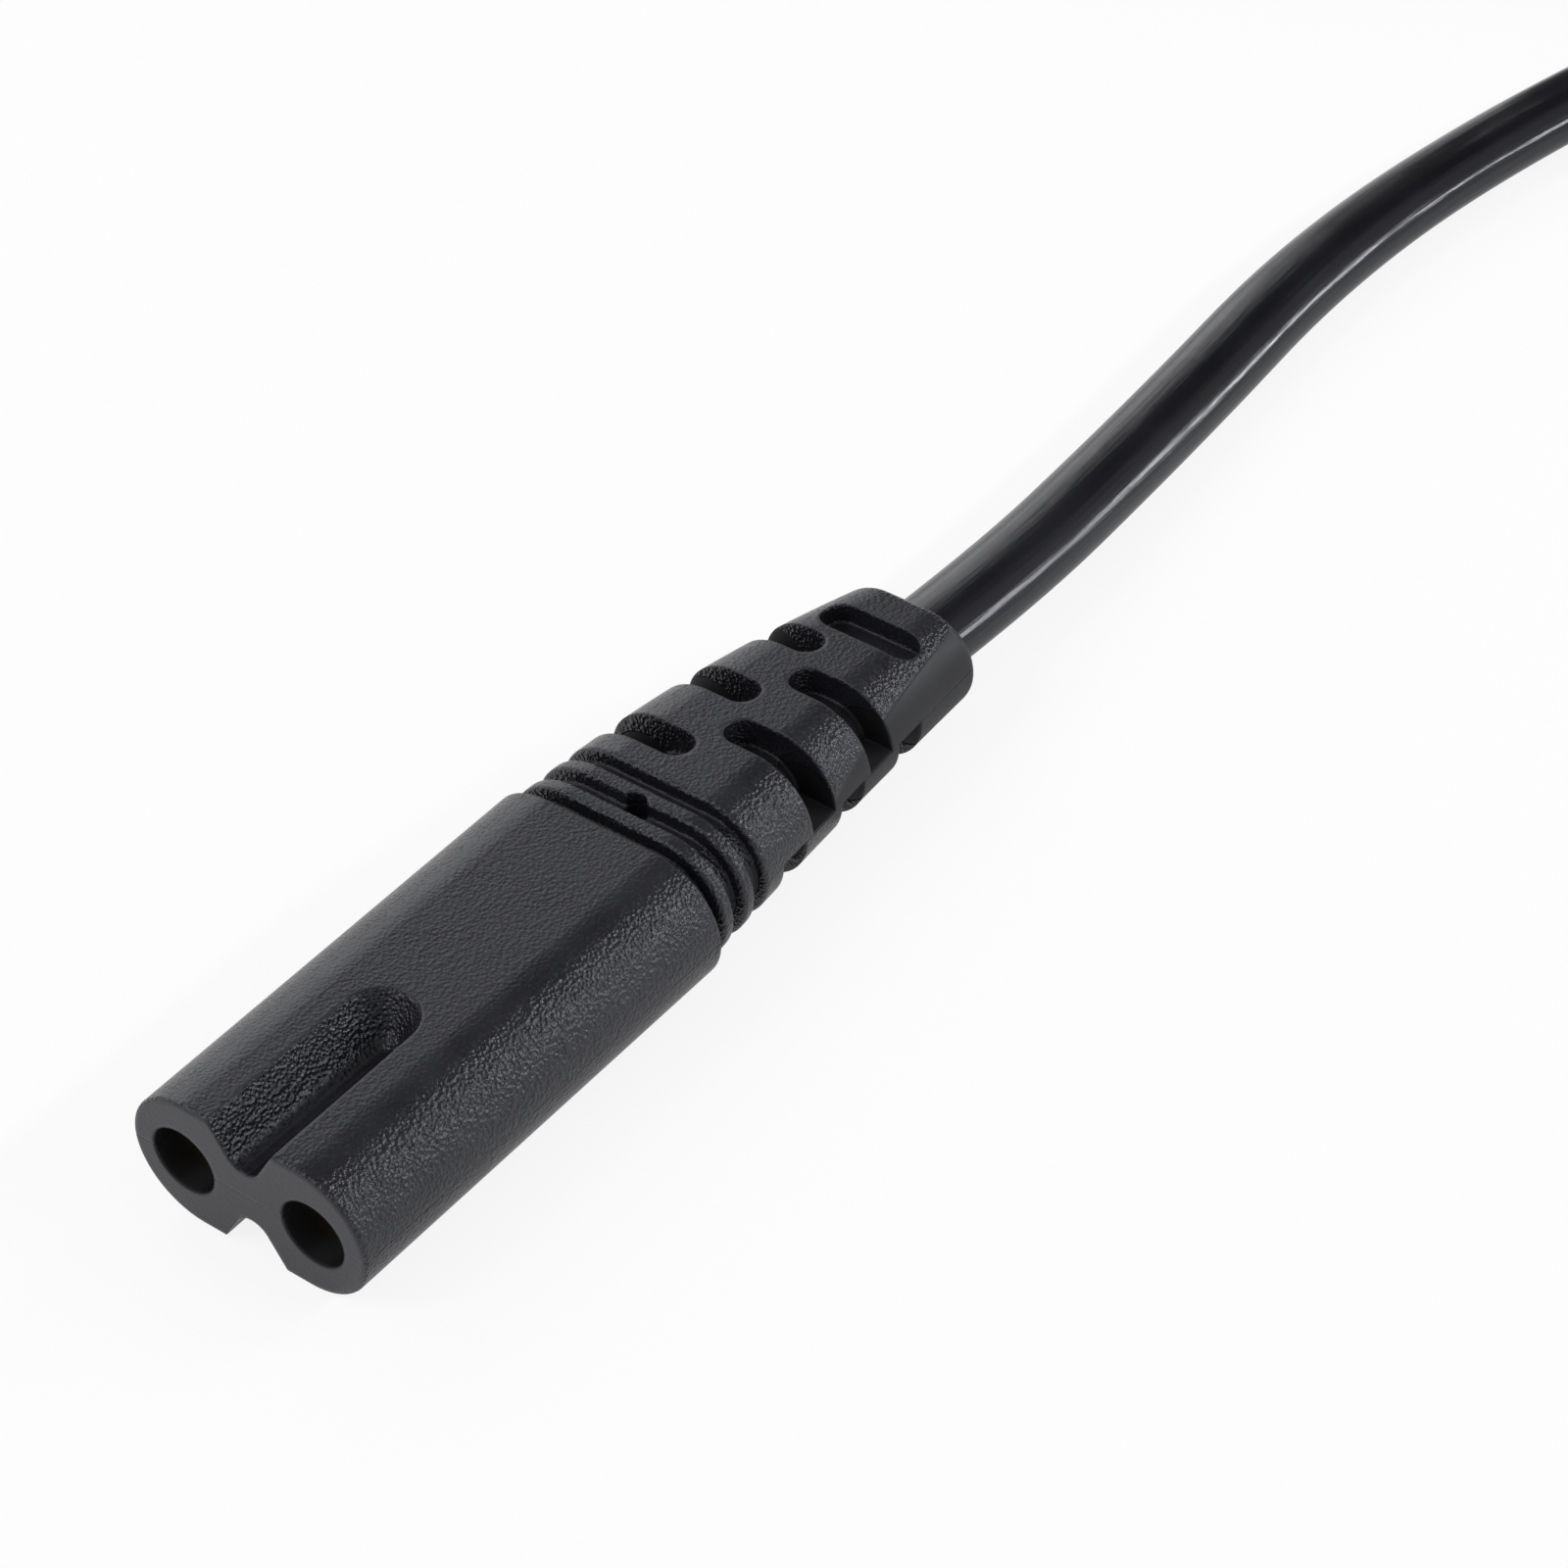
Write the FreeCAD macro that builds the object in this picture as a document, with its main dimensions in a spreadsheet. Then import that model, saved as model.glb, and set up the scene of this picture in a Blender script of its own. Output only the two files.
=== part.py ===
# Figure eight power connector with its flat two-core lead.
# The mating face looks along -X and the cord leaves along +X.
# The connector lies on its flat underside, on the surface z = 0.
import FreeCAD, Part
import math
import os
import Sketcher
from FreeCAD import Placement, Rotation, Vector

os.makedirs("parts", exist_ok=True)
doc = FreeCAD.newDocument("figure_eight_lead")

# Driving sizes, in millimetres
SIZES = {
    # Connector block
    "contact_pitch": 8.6,
    "entry_bore": 4.06,
    "body_width": 15.44,
    "body_height": 8.2,
    "block_length": 27.8,
    "notch_width": 4.34,
    "notch_round": 1.18,
    "notch_depth": 2.475,
    "notch_length": 10.35,
    "face_round": 0.25,
    # Grip rings behind the block
    "shoulder_width": 14.5,
    "shoulder_height": 7.9,
    "ring_groove_width": 1.0,
    "ring_pitch": 1.95,
    "ring_count": 3,
    "ring_groove_depth": 0.95,
    "ring_round": 0.25,
    "gate_from_block": 2.65,
    "gate_diameter": 1.5,
    "gate_depth": 1.0,
    # Tapered strain relief
    "relief_length": 26.0,
    "waist_from_end": 14.3,
    "waist_width": 12.7,
    "waist_height": 7.4,
    "tail_width": 8.9,
    "tail_height": 6.2,
    "tail_round": 0.9,
    "tail_lean_side": -0.9,
    "tail_lean_down": -0.55,
    "slot_first_from_end": 18.3,
    "slot_pitch": 2.82,
    "slot_width": 2.2,
    "slot_web": 0.2,
    "slots_one_side": 3,
    "slots_other_side": 2,
    "core_width_front": 7.4,
    "core_width_back": 6.6,
    "core_height_front": 4.3,
    "core_height_back": 4.1,
    "end_slot_from_end": 4.0,
    "end_slot_width": 2.4,
    "end_slot_length": 6.3,
    "end_slot_floor": 2.1,
    # Contacts and the block that carries them
    "carrier_front": 13.0,
    "carrier_cover": 3.8,
    "carrier_height": 5.2,
    "carrier_wall": 1.0,
    "sleeve_front": 2.2,
    "sleeve_bore": 2.42,
    "sleeve_wall": 0.39,
    "sleeve_bore_length": 12.8,
    "flare_length": 1.8,
    "flare_outer": 3.9,
    "neck_length": 1.0,
    "crimp_length": 4.6,
    "seam_width": 0.4,
    # Cord and its two wires
    "cord_width": 5.4,
    "cord_height": 3.4,
    "wire_diameter": 2.2,
    "strand_diameter": 1.1,
    "wire_gap": 0.15,
    "wire_straight": 1.9,
    "jacket_cover": 18.8,
    "jacket_gap": 0.25,
    # Hank of cord and its tie
    "fold_radius": 17.2,
    "turn_gap": 0.15,
    "layer_count": 5,
    "hank_length": 108.0,
    "hank_from_relief": 87.5,
    "hank_side": 9.25,
    "lead_in_gap": 0.5,
    "tie_thickness": 0.8,
    "tie_width": 10.0,
    "tie_place": 61.6,
    "tie_overlap": 14.0,
    "tie_corner": 0.7,
    # Two-pin plug
    "plug_width": 35.3,
    "plug_height": 13.7,
    "plug_block_length": 18.0,
    "plug_length": 57.0,
    "plug_waist_from_end": 22.0,
    "plug_waist_width": 12.0,
    "plug_waist_height": 8.4,
    "plug_tail_width": 8.8,
    "plug_tail_height": 6.6,
    "plug_from_relief": 110.1,
    "plug_side": 27.2,
    "plug_round": 1.2,
    "plug_ring_count": 4,
    "plug_ring_pitch": 3.4,
    "plug_ring_width": 1.2,
    "plug_ring_depth": 1.0,
    "pin_pitch": 18.0,
    "pin_diameter": 4.0,
    "pin_length": 19.0,
    "pin_bare": 9.0,
    "pin_round": 1.4,
    "pin_neck": 2.9,
    "collar_diameter": 3.6,
    "bridge_front": 2.0,
    "bridge_length": 13.0,
    "bridge_wall": 2.0,
    "bridge_height": 8.0,
    "pin_root": 9.0,
    "pin_socket": 4.0,
    "plug_wire_bend": 16.0,
    "plug_jacket_cover": 18.0,
}

# Sizes that follow from the driving ones
FOLLOWING = {
    "overall_length": "block_length + relief_length",
    "waist_at": "overall_length - waist_from_end",
    "slot_first_at": "overall_length - slot_first_from_end",
    "end_slot_at": "overall_length - end_slot_from_end",
    "core_front_at": "slot_first_at - slot_pitch / 2",
    "core_back_at": "core_front_at + (slots_one_side + slots_other_side) * slot_pitch",
    "gate_at": "block_length + gate_from_block",
    "ring_core_width": "shoulder_width - 2 * ring_groove_depth",
    "ring_core_height": "shoulder_height - 2 * ring_groove_depth",
    "sleeve_outer": "sleeve_bore + 2 * sleeve_wall",
    "carrier_width": "contact_pitch + sleeve_outer + 2 * carrier_wall",
    "carrier_end": "block_length - carrier_cover",
    "sleeve_bore_end": "sleeve_front + sleeve_bore_length",
    "crimp_front": "sleeve_bore_end + neck_length",
    "crimp_end": "crimp_front + crimp_length",
    "jacket_front": "overall_length - jacket_cover - jacket_gap",
    "wire_bend_length": "jacket_front - carrier_end - 2 * wire_straight",
    "wire_side": "wire_diameter / 2 + wire_gap",
    "layer_height": "cord_height + turn_gap",
    "hank_height": "layer_count * layer_height",
    "hank_start": "overall_length / 2 + hank_from_relief",
    "hank_outer_radius": "fold_radius + cord_width / 2",
    "hank_inner_radius": "fold_radius - cord_width / 2",
    "plug_face_at": "overall_length / 2 + plug_from_relief",
    "plug_waist_at": "plug_length - plug_waist_from_end",
    "plug_axis_height": "tie_thickness + hank_height + plug_height / 2",
    "bridge_width": "pin_pitch + pin_diameter + 2 * bridge_wall",
    "bridge_end": "bridge_front + bridge_length",
    "pin_end": "bridge_front + pin_root",
    "plug_jacket_front": "plug_length - plug_jacket_cover",
}

sheet = doc.addObject("Spreadsheet::Sheet", "Sizes")
for row, (name, value) in enumerate({**SIZES, **FOLLOWING}.items(), start=1):
    sheet.set(f"A{row}", name)
    sheet.set(f"B{row}", f"={value}" if name in FOLLOWING else str(value))
    sheet.setAlias(f"B{row}", name)
doc.recompute()


def size(name):
    """The value of one cell of the sheet, as a plain number."""
    return float(getattr(sheet, name))


def worked_out(expression):
    """The number that an expression of the sheet's cells stands for now."""
    return float(sheet.evalExpression(expression))


# Sketches

def add_body(label, at):
    """A body whose own origin is set at a place worked out from the sheet."""
    body = doc.addObject("PartDesign::Body", label)
    place(body, at)
    return body


def place(thing, at):
    """Moves an object to a place worked out from the sheet."""
    for axis, expression in zip("xyz", at):
        thing.setExpression(f"Placement.Base.{axis}", expression)


def add_sketch(body, name, plane, offset=("0", "0", "0"), turn=0):
    """A sketch on one of the body's planes, shifted along that plane's own axes."""
    sketch = body.newObject("Sketcher::SketchObject", name)
    role = f"{plane}_Plane"
    support = [item for item in body.Origin.OriginFeatures if item.Role == role]
    sketch.AttachmentSupport = [(support[0], "")]
    sketch.MapMode = "FlatFace"
    sketch.AttachmentOffset = Placement(Vector(), Rotation(Vector(0, 0, 1), turn))
    for axis, expression in zip("xyz", offset):
        sketch.setExpression(f"AttachmentOffset.Base.{axis}", expression)
    return sketch


def fix(sketch, kind, *where):
    """A constraint without a size."""
    sketch.addConstraint(Sketcher.Constraint(kind, *where))


def measure(sketch, kind, where, expression):
    """A dimension that is drawn first and then bound to the sheet."""
    index = sketch.addConstraint(Sketcher.Constraint(kind, *where, worked_out(expression)))
    sketch.setExpression(f"Constraints[{index}]", expression)


ORIGIN = (-1, 1)
ACROSS = -1
UPWARD = -2
UP = Vector(0, 0, 1)


def line(x1, y1, x2, y2):
    return Part.LineSegment(Vector(x1, y1, 0), Vector(x2, y2, 0))


def arc(x, y, radius, start, end):
    circle = Part.Circle(Vector(x, y, 0), UP, radius)
    return Part.ArcOfCircle(circle, math.radians(start), math.radians(end))


def stadium(sketch, width, height):
    """A centred outline with flat top and bottom and round sides."""
    rise = worked_out(height) / 2
    flat = worked_out(width) / 2 - rise
    top, right, bottom, left = sketch.addGeometry([
        line(-flat, rise, flat, rise), arc(flat, 0, rise, -90, 90),
        line(flat, -rise, -flat, -rise), arc(-flat, 0, rise, 90, 270),
    ], False)
    fix(sketch, "Tangent", top, 2, right, 2)
    fix(sketch, "Tangent", right, 1, bottom, 1)
    fix(sketch, "Tangent", bottom, 2, left, 2)
    fix(sketch, "Tangent", left, 1, top, 1)
    fix(sketch, "Symmetric", left, 3, right, 3, *ORIGIN)
    fix(sketch, "PointOnObject", right, 3, ACROSS)
    measure(sketch, "Radius", (right,), f"({height}) / 2")
    measure(sketch, "DistanceX", (left, 3, right, 3), f"({width}) - ({height})")


def box(sketch, left, right, low, high):
    """An upright rectangle between four distances from the origin."""
    x1, x2, y1, y2 = [worked_out(edge) for edge in (left, right, low, high)]
    below, beside, above, before = sketch.addGeometry([
        line(x1, y1, x2, y1), line(x2, y1, x2, y2), line(x2, y2, x1, y2), line(x1, y2, x1, y1),
    ], False)
    corners = (below, beside, above, before)
    for first, second in zip(corners, corners[1:] + corners[:1]):
        fix(sketch, "Coincident", first, 2, second, 1)
    for edge in (below, above):
        fix(sketch, "Horizontal", edge)
    for edge in (beside, before):
        fix(sketch, "Vertical", edge)
    measure(sketch, "DistanceX", (*ORIGIN, beside, 1), right)
    measure(sketch, "DistanceX", (below, 1, below, 2), f"({right}) - ({left})")
    measure(sketch, "DistanceY", (*ORIGIN, above, 1), high)
    measure(sketch, "DistanceY", (beside, 1, beside, 2), f"({high}) - ({low})")


def circle_pair(sketch, pitch, diameter):
    """Two equal circles, side by side about the origin."""
    aside = worked_out(pitch) / 2
    radius = worked_out(diameter) / 2
    rings = sketch.addGeometry(
        [Part.Circle(Vector(x, 0, 0), UP, radius) for x in (-aside, aside)], False)
    fix(sketch, "Symmetric", rings[0], 3, rings[1], 3, *ORIGIN)
    fix(sketch, "PointOnObject", rings[1], 3, ACROSS)
    fix(sketch, "Equal", *rings)
    measure(sketch, "Diameter", (rings[0],), diameter)
    measure(sketch, "DistanceX", (rings[0], 3, rings[1], 3), pitch)


def side_slots(sketch, first, count, side):
    """Slots that start round beside the centre line and run out over one side."""
    radius = size("slot_width") / 2
    y = side * (radius + size("slot_web") / 2)
    reach = side * size("body_width")
    for step in range(count):
        place_along = f"{first} + {2 * step} * Sizes.slot_pitch"
        x = worked_out(place_along)
        turn = 180 if side > 0 else 0
        near, nose, far, mouth = sketch.addGeometry([
            line(x - radius, reach, x - radius, y), arc(x, y, radius, turn, turn + 180),
            line(x + radius, y, x + radius, reach), line(x + radius, reach, x - radius, reach),
        ], False)
        left_end, right_end = (1, 2) if side > 0 else (2, 1)
        fix(sketch, "Tangent", near, 2, nose, left_end)
        fix(sketch, "Tangent", far, 1, nose, right_end)
        fix(sketch, "Coincident", far, 2, mouth, 1)
        fix(sketch, "Coincident", mouth, 2, near, 1)
        fix(sketch, "Vertical", near)
        fix(sketch, "Horizontal", mouth)
        measure(sketch, "Radius", (nose,), "Sizes.slot_width / 2")
        measure(sketch, "DistanceX", (*ORIGIN, nose, 3), place_along)
        lift = (*ORIGIN, nose, 3) if side > 0 else (nose, 3, *ORIGIN)
        measure(sketch, "DistanceY", lift, "(Sizes.slot_web + Sizes.slot_width) / 2")
        run_out = (*ORIGIN, mouth, 1) if side > 0 else (mouth, 1, *ORIGIN)
        measure(sketch, "DistanceY", run_out, "Sizes.body_width")


# Features

def add_feature(body, kind, name, **values):
    feature = body.newObject(f"PartDesign::{kind}", name)
    for key, value in values.items():
        setattr(feature, key, value)
    return feature


def pad(body, sketch, length):
    """Adds material along the sketch's normal."""
    feature = add_feature(body, "Pad", f"{sketch.Name}_pad", Profile=sketch)
    feature.setExpression("Length", length)
    doc.recompute()
    return feature


def pocket(body, sketch, depth=None, forward=True):
    """Cuts along the sketch's normal, or against it, right through unless a depth is given."""
    before = body.Shape.Volume
    feature = add_feature(body, "Pocket", f"{sketch.Name}_pocket", Profile=sketch)
    feature.Reversed = forward
    if depth is None:
        feature.Type = "ThroughAll"
    else:
        feature.setExpression("Length", depth)
    doc.recompute()
    if body.Shape.Volume > before - 1e-3:
        raise ValueError(f"{feature.Name} cuts nothing")
    return feature


def loft(body, sketches, name, ruled=False):
    """Joins sections, laid one behind the other, with smooth walls."""
    feature = add_feature(body, "AdditiveLoft", name, Profile=sketches[0], Ruled=ruled)
    feature.Sections = sketches[1:]
    doc.recompute()
    return feature


def revolve(body, sketch, kind="Revolution", axis="H_Axis"):
    feature = add_feature(body, kind, f"{sketch.Name}_turned", Profile=sketch, Angle=360)
    feature.ReferenceAxis = (sketch, [axis])
    doc.recompute()
    return feature


def fillet(body, edges, radius, name):
    """Rounds the chosen edges of the body as it stands."""
    feature = add_feature(body, "Fillet", name, Base=(body.Tip, edges))
    feature.setExpression("Radius", radius)
    doc.recompute()
    return feature


def edges_across(body, stations, beyond=0.0, half_flat=0.0):
    """Names of the edges in planes across X that lie further out than a rounded core."""
    names = []
    for index, edge in enumerate(body.Tip.Shape.Edges, start=1):
        limits = edge.BoundBox
        if limits.XLength > 1e-4 or not any(abs(limits.XMin - x) < 1e-3 for x in stations):
            continue
        middle = edge.valueAt((edge.FirstParameter + edge.LastParameter) / 2)
        outward = math.hypot(max(abs(middle.y) - half_flat, 0), middle.z)
        if outward > beyond:
            names.append(f"Edge{index}")
    return names


# Wires and cord

def tangent_path(points, report=None):
    """Straight runs joined by the largest tangent arcs that the runs allow."""
    edges = []
    radii = []
    start = points[0]
    for before, corner, after in zip(points, points[1:], points[2:]):
        inward = (corner - before).normalize()
        outward = (after - corner).normalize()
        half_turn = inward.getAngle(outward) / 2
        reach = 0.45 * min((corner - before).Length, (after - corner).Length)
        radius = reach / math.tan(half_turn)
        to_centre = (outward - inward).normalize()
        nearest = radius / math.cos(half_turn) - radius
        entry = corner - inward * reach
        leave = corner + outward * reach
        edges.append(Part.LineSegment(start, entry).toShape())
        edges.append(Part.Arc(entry, corner + to_centre * nearest, leave).toShape())
        radii.append(round(radius, 1))
        start = leave
    edges.append(Part.LineSegment(start, points[-1]).toShape())
    if report:
        print(report, "bend radii", radii)
    return Part.Wire(edges)


def flat_section(start, along, width, height):
    """A stadium square to the path's start, with its flat sides level."""
    side = UP.cross(along).normalize()
    rise = along.cross(side).normalize()
    half = height / 2
    reach = side * (width / 2 - half)
    edges = []
    for sign in (1, -1):
        centre = start + reach * sign
        first = centre - rise * half * sign
        last = centre + rise * half * sign
        edges.append(Part.Arc(first, centre + side * half * sign, last).toShape())
        edges.append(Part.LineSegment(last, last - reach * 2 * sign).toShape())
    return Part.Wire(edges)


def round_section(start, along, diameter):
    return Part.Wire([Part.makeCircle(diameter / 2, start, along)])


def sweep(path, section):
    """One solid along a path, whose volume is the section times the length."""
    solid = path.makePipeShell([section], True, False)
    expected = Part.Face(section).Area * path.Length
    if abs(solid.Volume / expected - 1) > 0.01:
        raise ValueError(f"sweep holds {solid.Volume:.1f}, expected {expected:.1f}")
    return solid


def add_shape(label, shape, at=("0", "0", "0")):
    """A sub-part whose form is worked out in code, then placed."""
    thing = doc.addObject("Part::Feature", label)
    thing.Shape = shape
    place(thing, at)
    doc.recompute()
    return thing


def combine(label, kind, **operands):
    """A boolean of other sub-parts."""
    thing = doc.addObject(f"Part::{kind}", label)
    for key, value in operands.items():
        setattr(thing, key, value)
    doc.recompute()
    return thing


def add_wires(names, side, front, bend_start, bend_length, back, at, strand_front):
    """One core of the lead: copper strands in insulation, from its crimp to the jacket."""
    pitch, near = side
    points = [
        Vector(front, pitch, 0), Vector(bend_start, pitch, 0),
        Vector(bend_start + bend_length, near, 0), Vector(back, near, 0),
    ]
    along = Vector(1, 0, 0)
    outer = sweep(tangent_path(points), round_section(points[0], along, size("wire_diameter")))
    strand = sweep(tangent_path(points), round_section(points[0], along, size("strand_diameter")))
    crimped = Part.makeCylinder(
        size("strand_diameter") / 2, front - strand_front, Vector(strand_front, pitch, 0), along)
    add_shape(names[0], outer.cut(strand), at)
    add_shape(names[1], strand.fuse(crimped).removeSplitter(), at)
    return outer


def add_seat(name, at, aside, front, back, diameter):
    """A round space that a contact, pin or collar fills inside a moulding."""
    seat = doc.addObject("Part::Cylinder", name)
    seat.Placement = Placement(Vector(), Rotation(Vector(0, 1, 0), 90))
    place(seat, (f"{at[0]} + {front}", f"{at[1]} + {aside}", at[2]))
    seat.setExpression("Radius", f"{diameter} / 2")
    seat.setExpression("Height", f"{back} - {front}")
    doc.recompute()
    return seat


HERE = ("-Sizes.overall_length / 2", "0", "Sizes.body_height / 2")
LEAN = ("Sizes.tail_lean_side", "Sizes.tail_lean_down")
SIDES = {"left": 1, "right": -1}


# Carrier and contacts

def make_carrier():
    """Pre-moulded block that holds both contacts at their pitch."""
    body = add_body("contact_carrier", HERE)
    outline = add_sketch(body, "carrier_outline", "YZ", ("0", "0", "Sizes.carrier_front"))
    stadium(outline, "Sizes.carrier_width", "Sizes.carrier_height")
    pad(body, outline, "Sizes.carrier_end - Sizes.carrier_front")
    seats = add_sketch(body, "carrier_seats", "YZ", ("0", "0", "Sizes.carrier_front"))
    circle_pair(seats, "Sizes.contact_pitch", "Sizes.sleeve_outer")
    pocket(body, seats, "Sizes.crimp_front - Sizes.carrier_front")
    ways = add_sketch(body, "carrier_wire_ways", "YZ", ("0", "0", "Sizes.crimp_front"))
    circle_pair(ways, "Sizes.contact_pitch", "Sizes.wire_diameter")
    pocket(body, ways)
    return body


def profile(sketch, corners):
    """A closed outline of straight edges; each corner's place is read from the sheet."""
    drawn = [(worked_out(along), worked_out(outward)) for along, outward in corners]
    steps = zip(drawn, drawn[1:] + drawn[:1])
    edges = sketch.addGeometry([line(*first, *second) for first, second in steps], False)
    for first, second in zip(edges, edges[1:] + edges[:1]):
        fix(sketch, "Coincident", first, 2, second, 1)
    for edge, (along, outward) in zip(edges, corners):
        measure(sketch, "DistanceX", (*ORIGIN, edge, 1), along)
        measure(sketch, "DistanceY", (*ORIGIN, edge, 1), outward)


def make_sleeve(name, side):
    """Rolled brass socket with a flared mouth, a seam and a crimp barrel behind."""
    at = (HERE[0], f"{side} * Sizes.contact_pitch / 2", HERE[2])
    body = add_body(f"contact_sleeve_{name}", at)
    wall = add_sketch(body, f"sleeve_wall_{name}", "XY")
    bore = "Sizes.sleeve_bore / 2"
    mouth = "(Sizes.flare_outer - 2 * Sizes.sleeve_wall) / 2"
    flare_end = "Sizes.sleeve_front + Sizes.flare_length"
    outer = "Sizes.sleeve_outer / 2"
    barrel = "Sizes.wire_diameter / 2"
    strand = "Sizes.strand_diameter / 2"
    profile(wall, [
        ("Sizes.sleeve_front", "Sizes.flare_outer / 2"),
        (flare_end, outer),
        ("Sizes.crimp_front", outer),
        ("Sizes.crimp_front", barrel),
        ("Sizes.crimp_end", barrel),
        ("Sizes.crimp_end", strand),
        ("Sizes.crimp_front", strand),
        ("Sizes.crimp_front", "0"),
        ("Sizes.sleeve_bore_end", "0"),
        ("Sizes.sleeve_bore_end", bore),
        (flare_end, bore),
        ("Sizes.sleeve_front", mouth),
    ])
    revolve(body, wall)
    seam = add_sketch(body, f"sleeve_seam_{name}", "XY", ("Sizes.sleeve_bore_end / 2", "0", "0"))
    box(seam, "-Sizes.sleeve_bore_end / 2", "Sizes.sleeve_bore_end / 2",
        "-Sizes.seam_width / 2", "Sizes.seam_width / 2")
    pocket(body, seam)
    return body


# Connector moulding

def make_connector(insert):
    """Housing moulded over the carrier, the wires and the end of the jacket."""
    body = add_body("connector_moulding", HERE)

    block = add_sketch(body, "block_section", "YZ")
    stadium(block, "Sizes.body_width", "Sizes.body_height")
    pad(body, block, "Sizes.block_length")

    sections = [
        ("Sizes.block_length", "0", "0", "Sizes.shoulder_width", "Sizes.shoulder_height"),
        ("Sizes.waist_at", "0", "0", "Sizes.waist_width", "Sizes.waist_height"),
        ("Sizes.overall_length", *LEAN, "Sizes.tail_width", "Sizes.tail_height"),
    ]
    rings = []
    for number, (station, aside, up, width, height) in enumerate(sections):
        ring = add_sketch(body, f"relief_section_{number}", "YZ", (aside, up, station))
        stadium(ring, width, height)
        rings.append(ring)
    loft(body, rings, "relief")

    groove = add_sketch(body, "ring_groove", "YZ", ("0", "0", "Sizes.block_length"))
    box(groove, "-Sizes.body_width", "Sizes.body_width", "-Sizes.body_height", "Sizes.body_height")
    stadium(groove, "Sizes.ring_core_width", "Sizes.ring_core_height")
    cut = pocket(body, groove, "Sizes.ring_groove_width")
    repeat(body, cut, "X", "Sizes.ring_pitch", int(size("ring_count")))

    start, pitch = size("block_length"), size("ring_pitch")
    stations = [start + pitch * step for step in range(1, int(size("ring_count")))]
    stations += [start + pitch * step + size("ring_groove_width")
                 for step in range(int(size("ring_count")))]
    half_flat = (size("ring_core_width") - size("ring_core_height")) / 2
    beyond = size("ring_core_height") / 2 + size("ring_groove_depth") / 4
    fillet(body, edges_across(body, stations, beyond, half_flat), "Sizes.ring_round", "ring_rounds")
    fillet(body, edges_across(body, [size("overall_length")]), "Sizes.tail_round", "tail_rounds")
    fillet(body, edges_across(body, [0]), "Sizes.face_round", "face_rounds")

    cut_notches(body)

    bores = add_sketch(body, "entry_bores", "YZ")
    circle_pair(bores, "Sizes.contact_pitch", "Sizes.entry_bore")
    pocket(body, bores, "Sizes.carrier_front")

    slots = add_sketch(body, "upper_slots", "XY")
    side_slots(slots, "Sizes.slot_first_at", int(size("slots_one_side")), 1)
    side_slots(slots, "Sizes.slot_first_at + Sizes.slot_pitch", int(size("slots_other_side")), -1)
    cut = pocket(body, slots)
    turn_over(body, cut)

    core = []
    for end, aside, up in (("front", "0", "0"), ("back", *LEAN)):
        ring = add_sketch(body, f"core_section_{end}", "YZ", (aside, up, f"Sizes.core_{end}_at"))
        stadium(ring, f"Sizes.core_width_{end}", f"Sizes.core_height_{end}")
        core.append(ring)
    loft(body, core, "relief_core", ruled=True)

    for name, way in (("upper", 1), ("lower", -1)):
        floor = f"{way} * Sizes.end_slot_floor + {LEAN[1]}"
        slot = add_sketch(body, f"end_slot_{name}", "XY", ("Sizes.end_slot_at", LEAN[0], floor), 90)
        stadium(slot, "Sizes.end_slot_length", "Sizes.end_slot_width")
        pocket(body, slot, forward=way > 0)

    gate_floor = "Sizes.ring_core_height / 2 - Sizes.gate_depth"
    gate = add_sketch(body, "gate_recess", "XY", ("Sizes.gate_at", "0", gate_floor))
    rim = gate.addGeometry(Part.Circle(Vector(), UP, size("gate_diameter") / 2), False)
    fix(gate, "Coincident", rim, 3, *ORIGIN)
    measure(gate, "Diameter", (rim,), "Sizes.gate_diameter")
    pocket(body, gate)

    return combine("connector_body", "Cut", Base=body, Tool=insert, Refine=False)


def cut_notches(body):
    """The waist of the figure eight: a round-bottomed notch above and below the face."""
    notch = add_sketch(body, "notch_profile", "YZ")
    notch_outline(notch)
    run = pocket(body, notch, "Sizes.notch_length")
    reflect(body, run)
    end = add_sketch(body, "notch_end", "YZ", ("0", "0", "Sizes.notch_length"))
    notch_outline(end, half=True)
    turned = add_feature(body, "Groove", "notch_end_turned", Profile=end, Angle=360)
    turned.ReferenceAxis = (end, ["V_Axis"])
    doc.recompute()
    reflect(body, turned)


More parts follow.
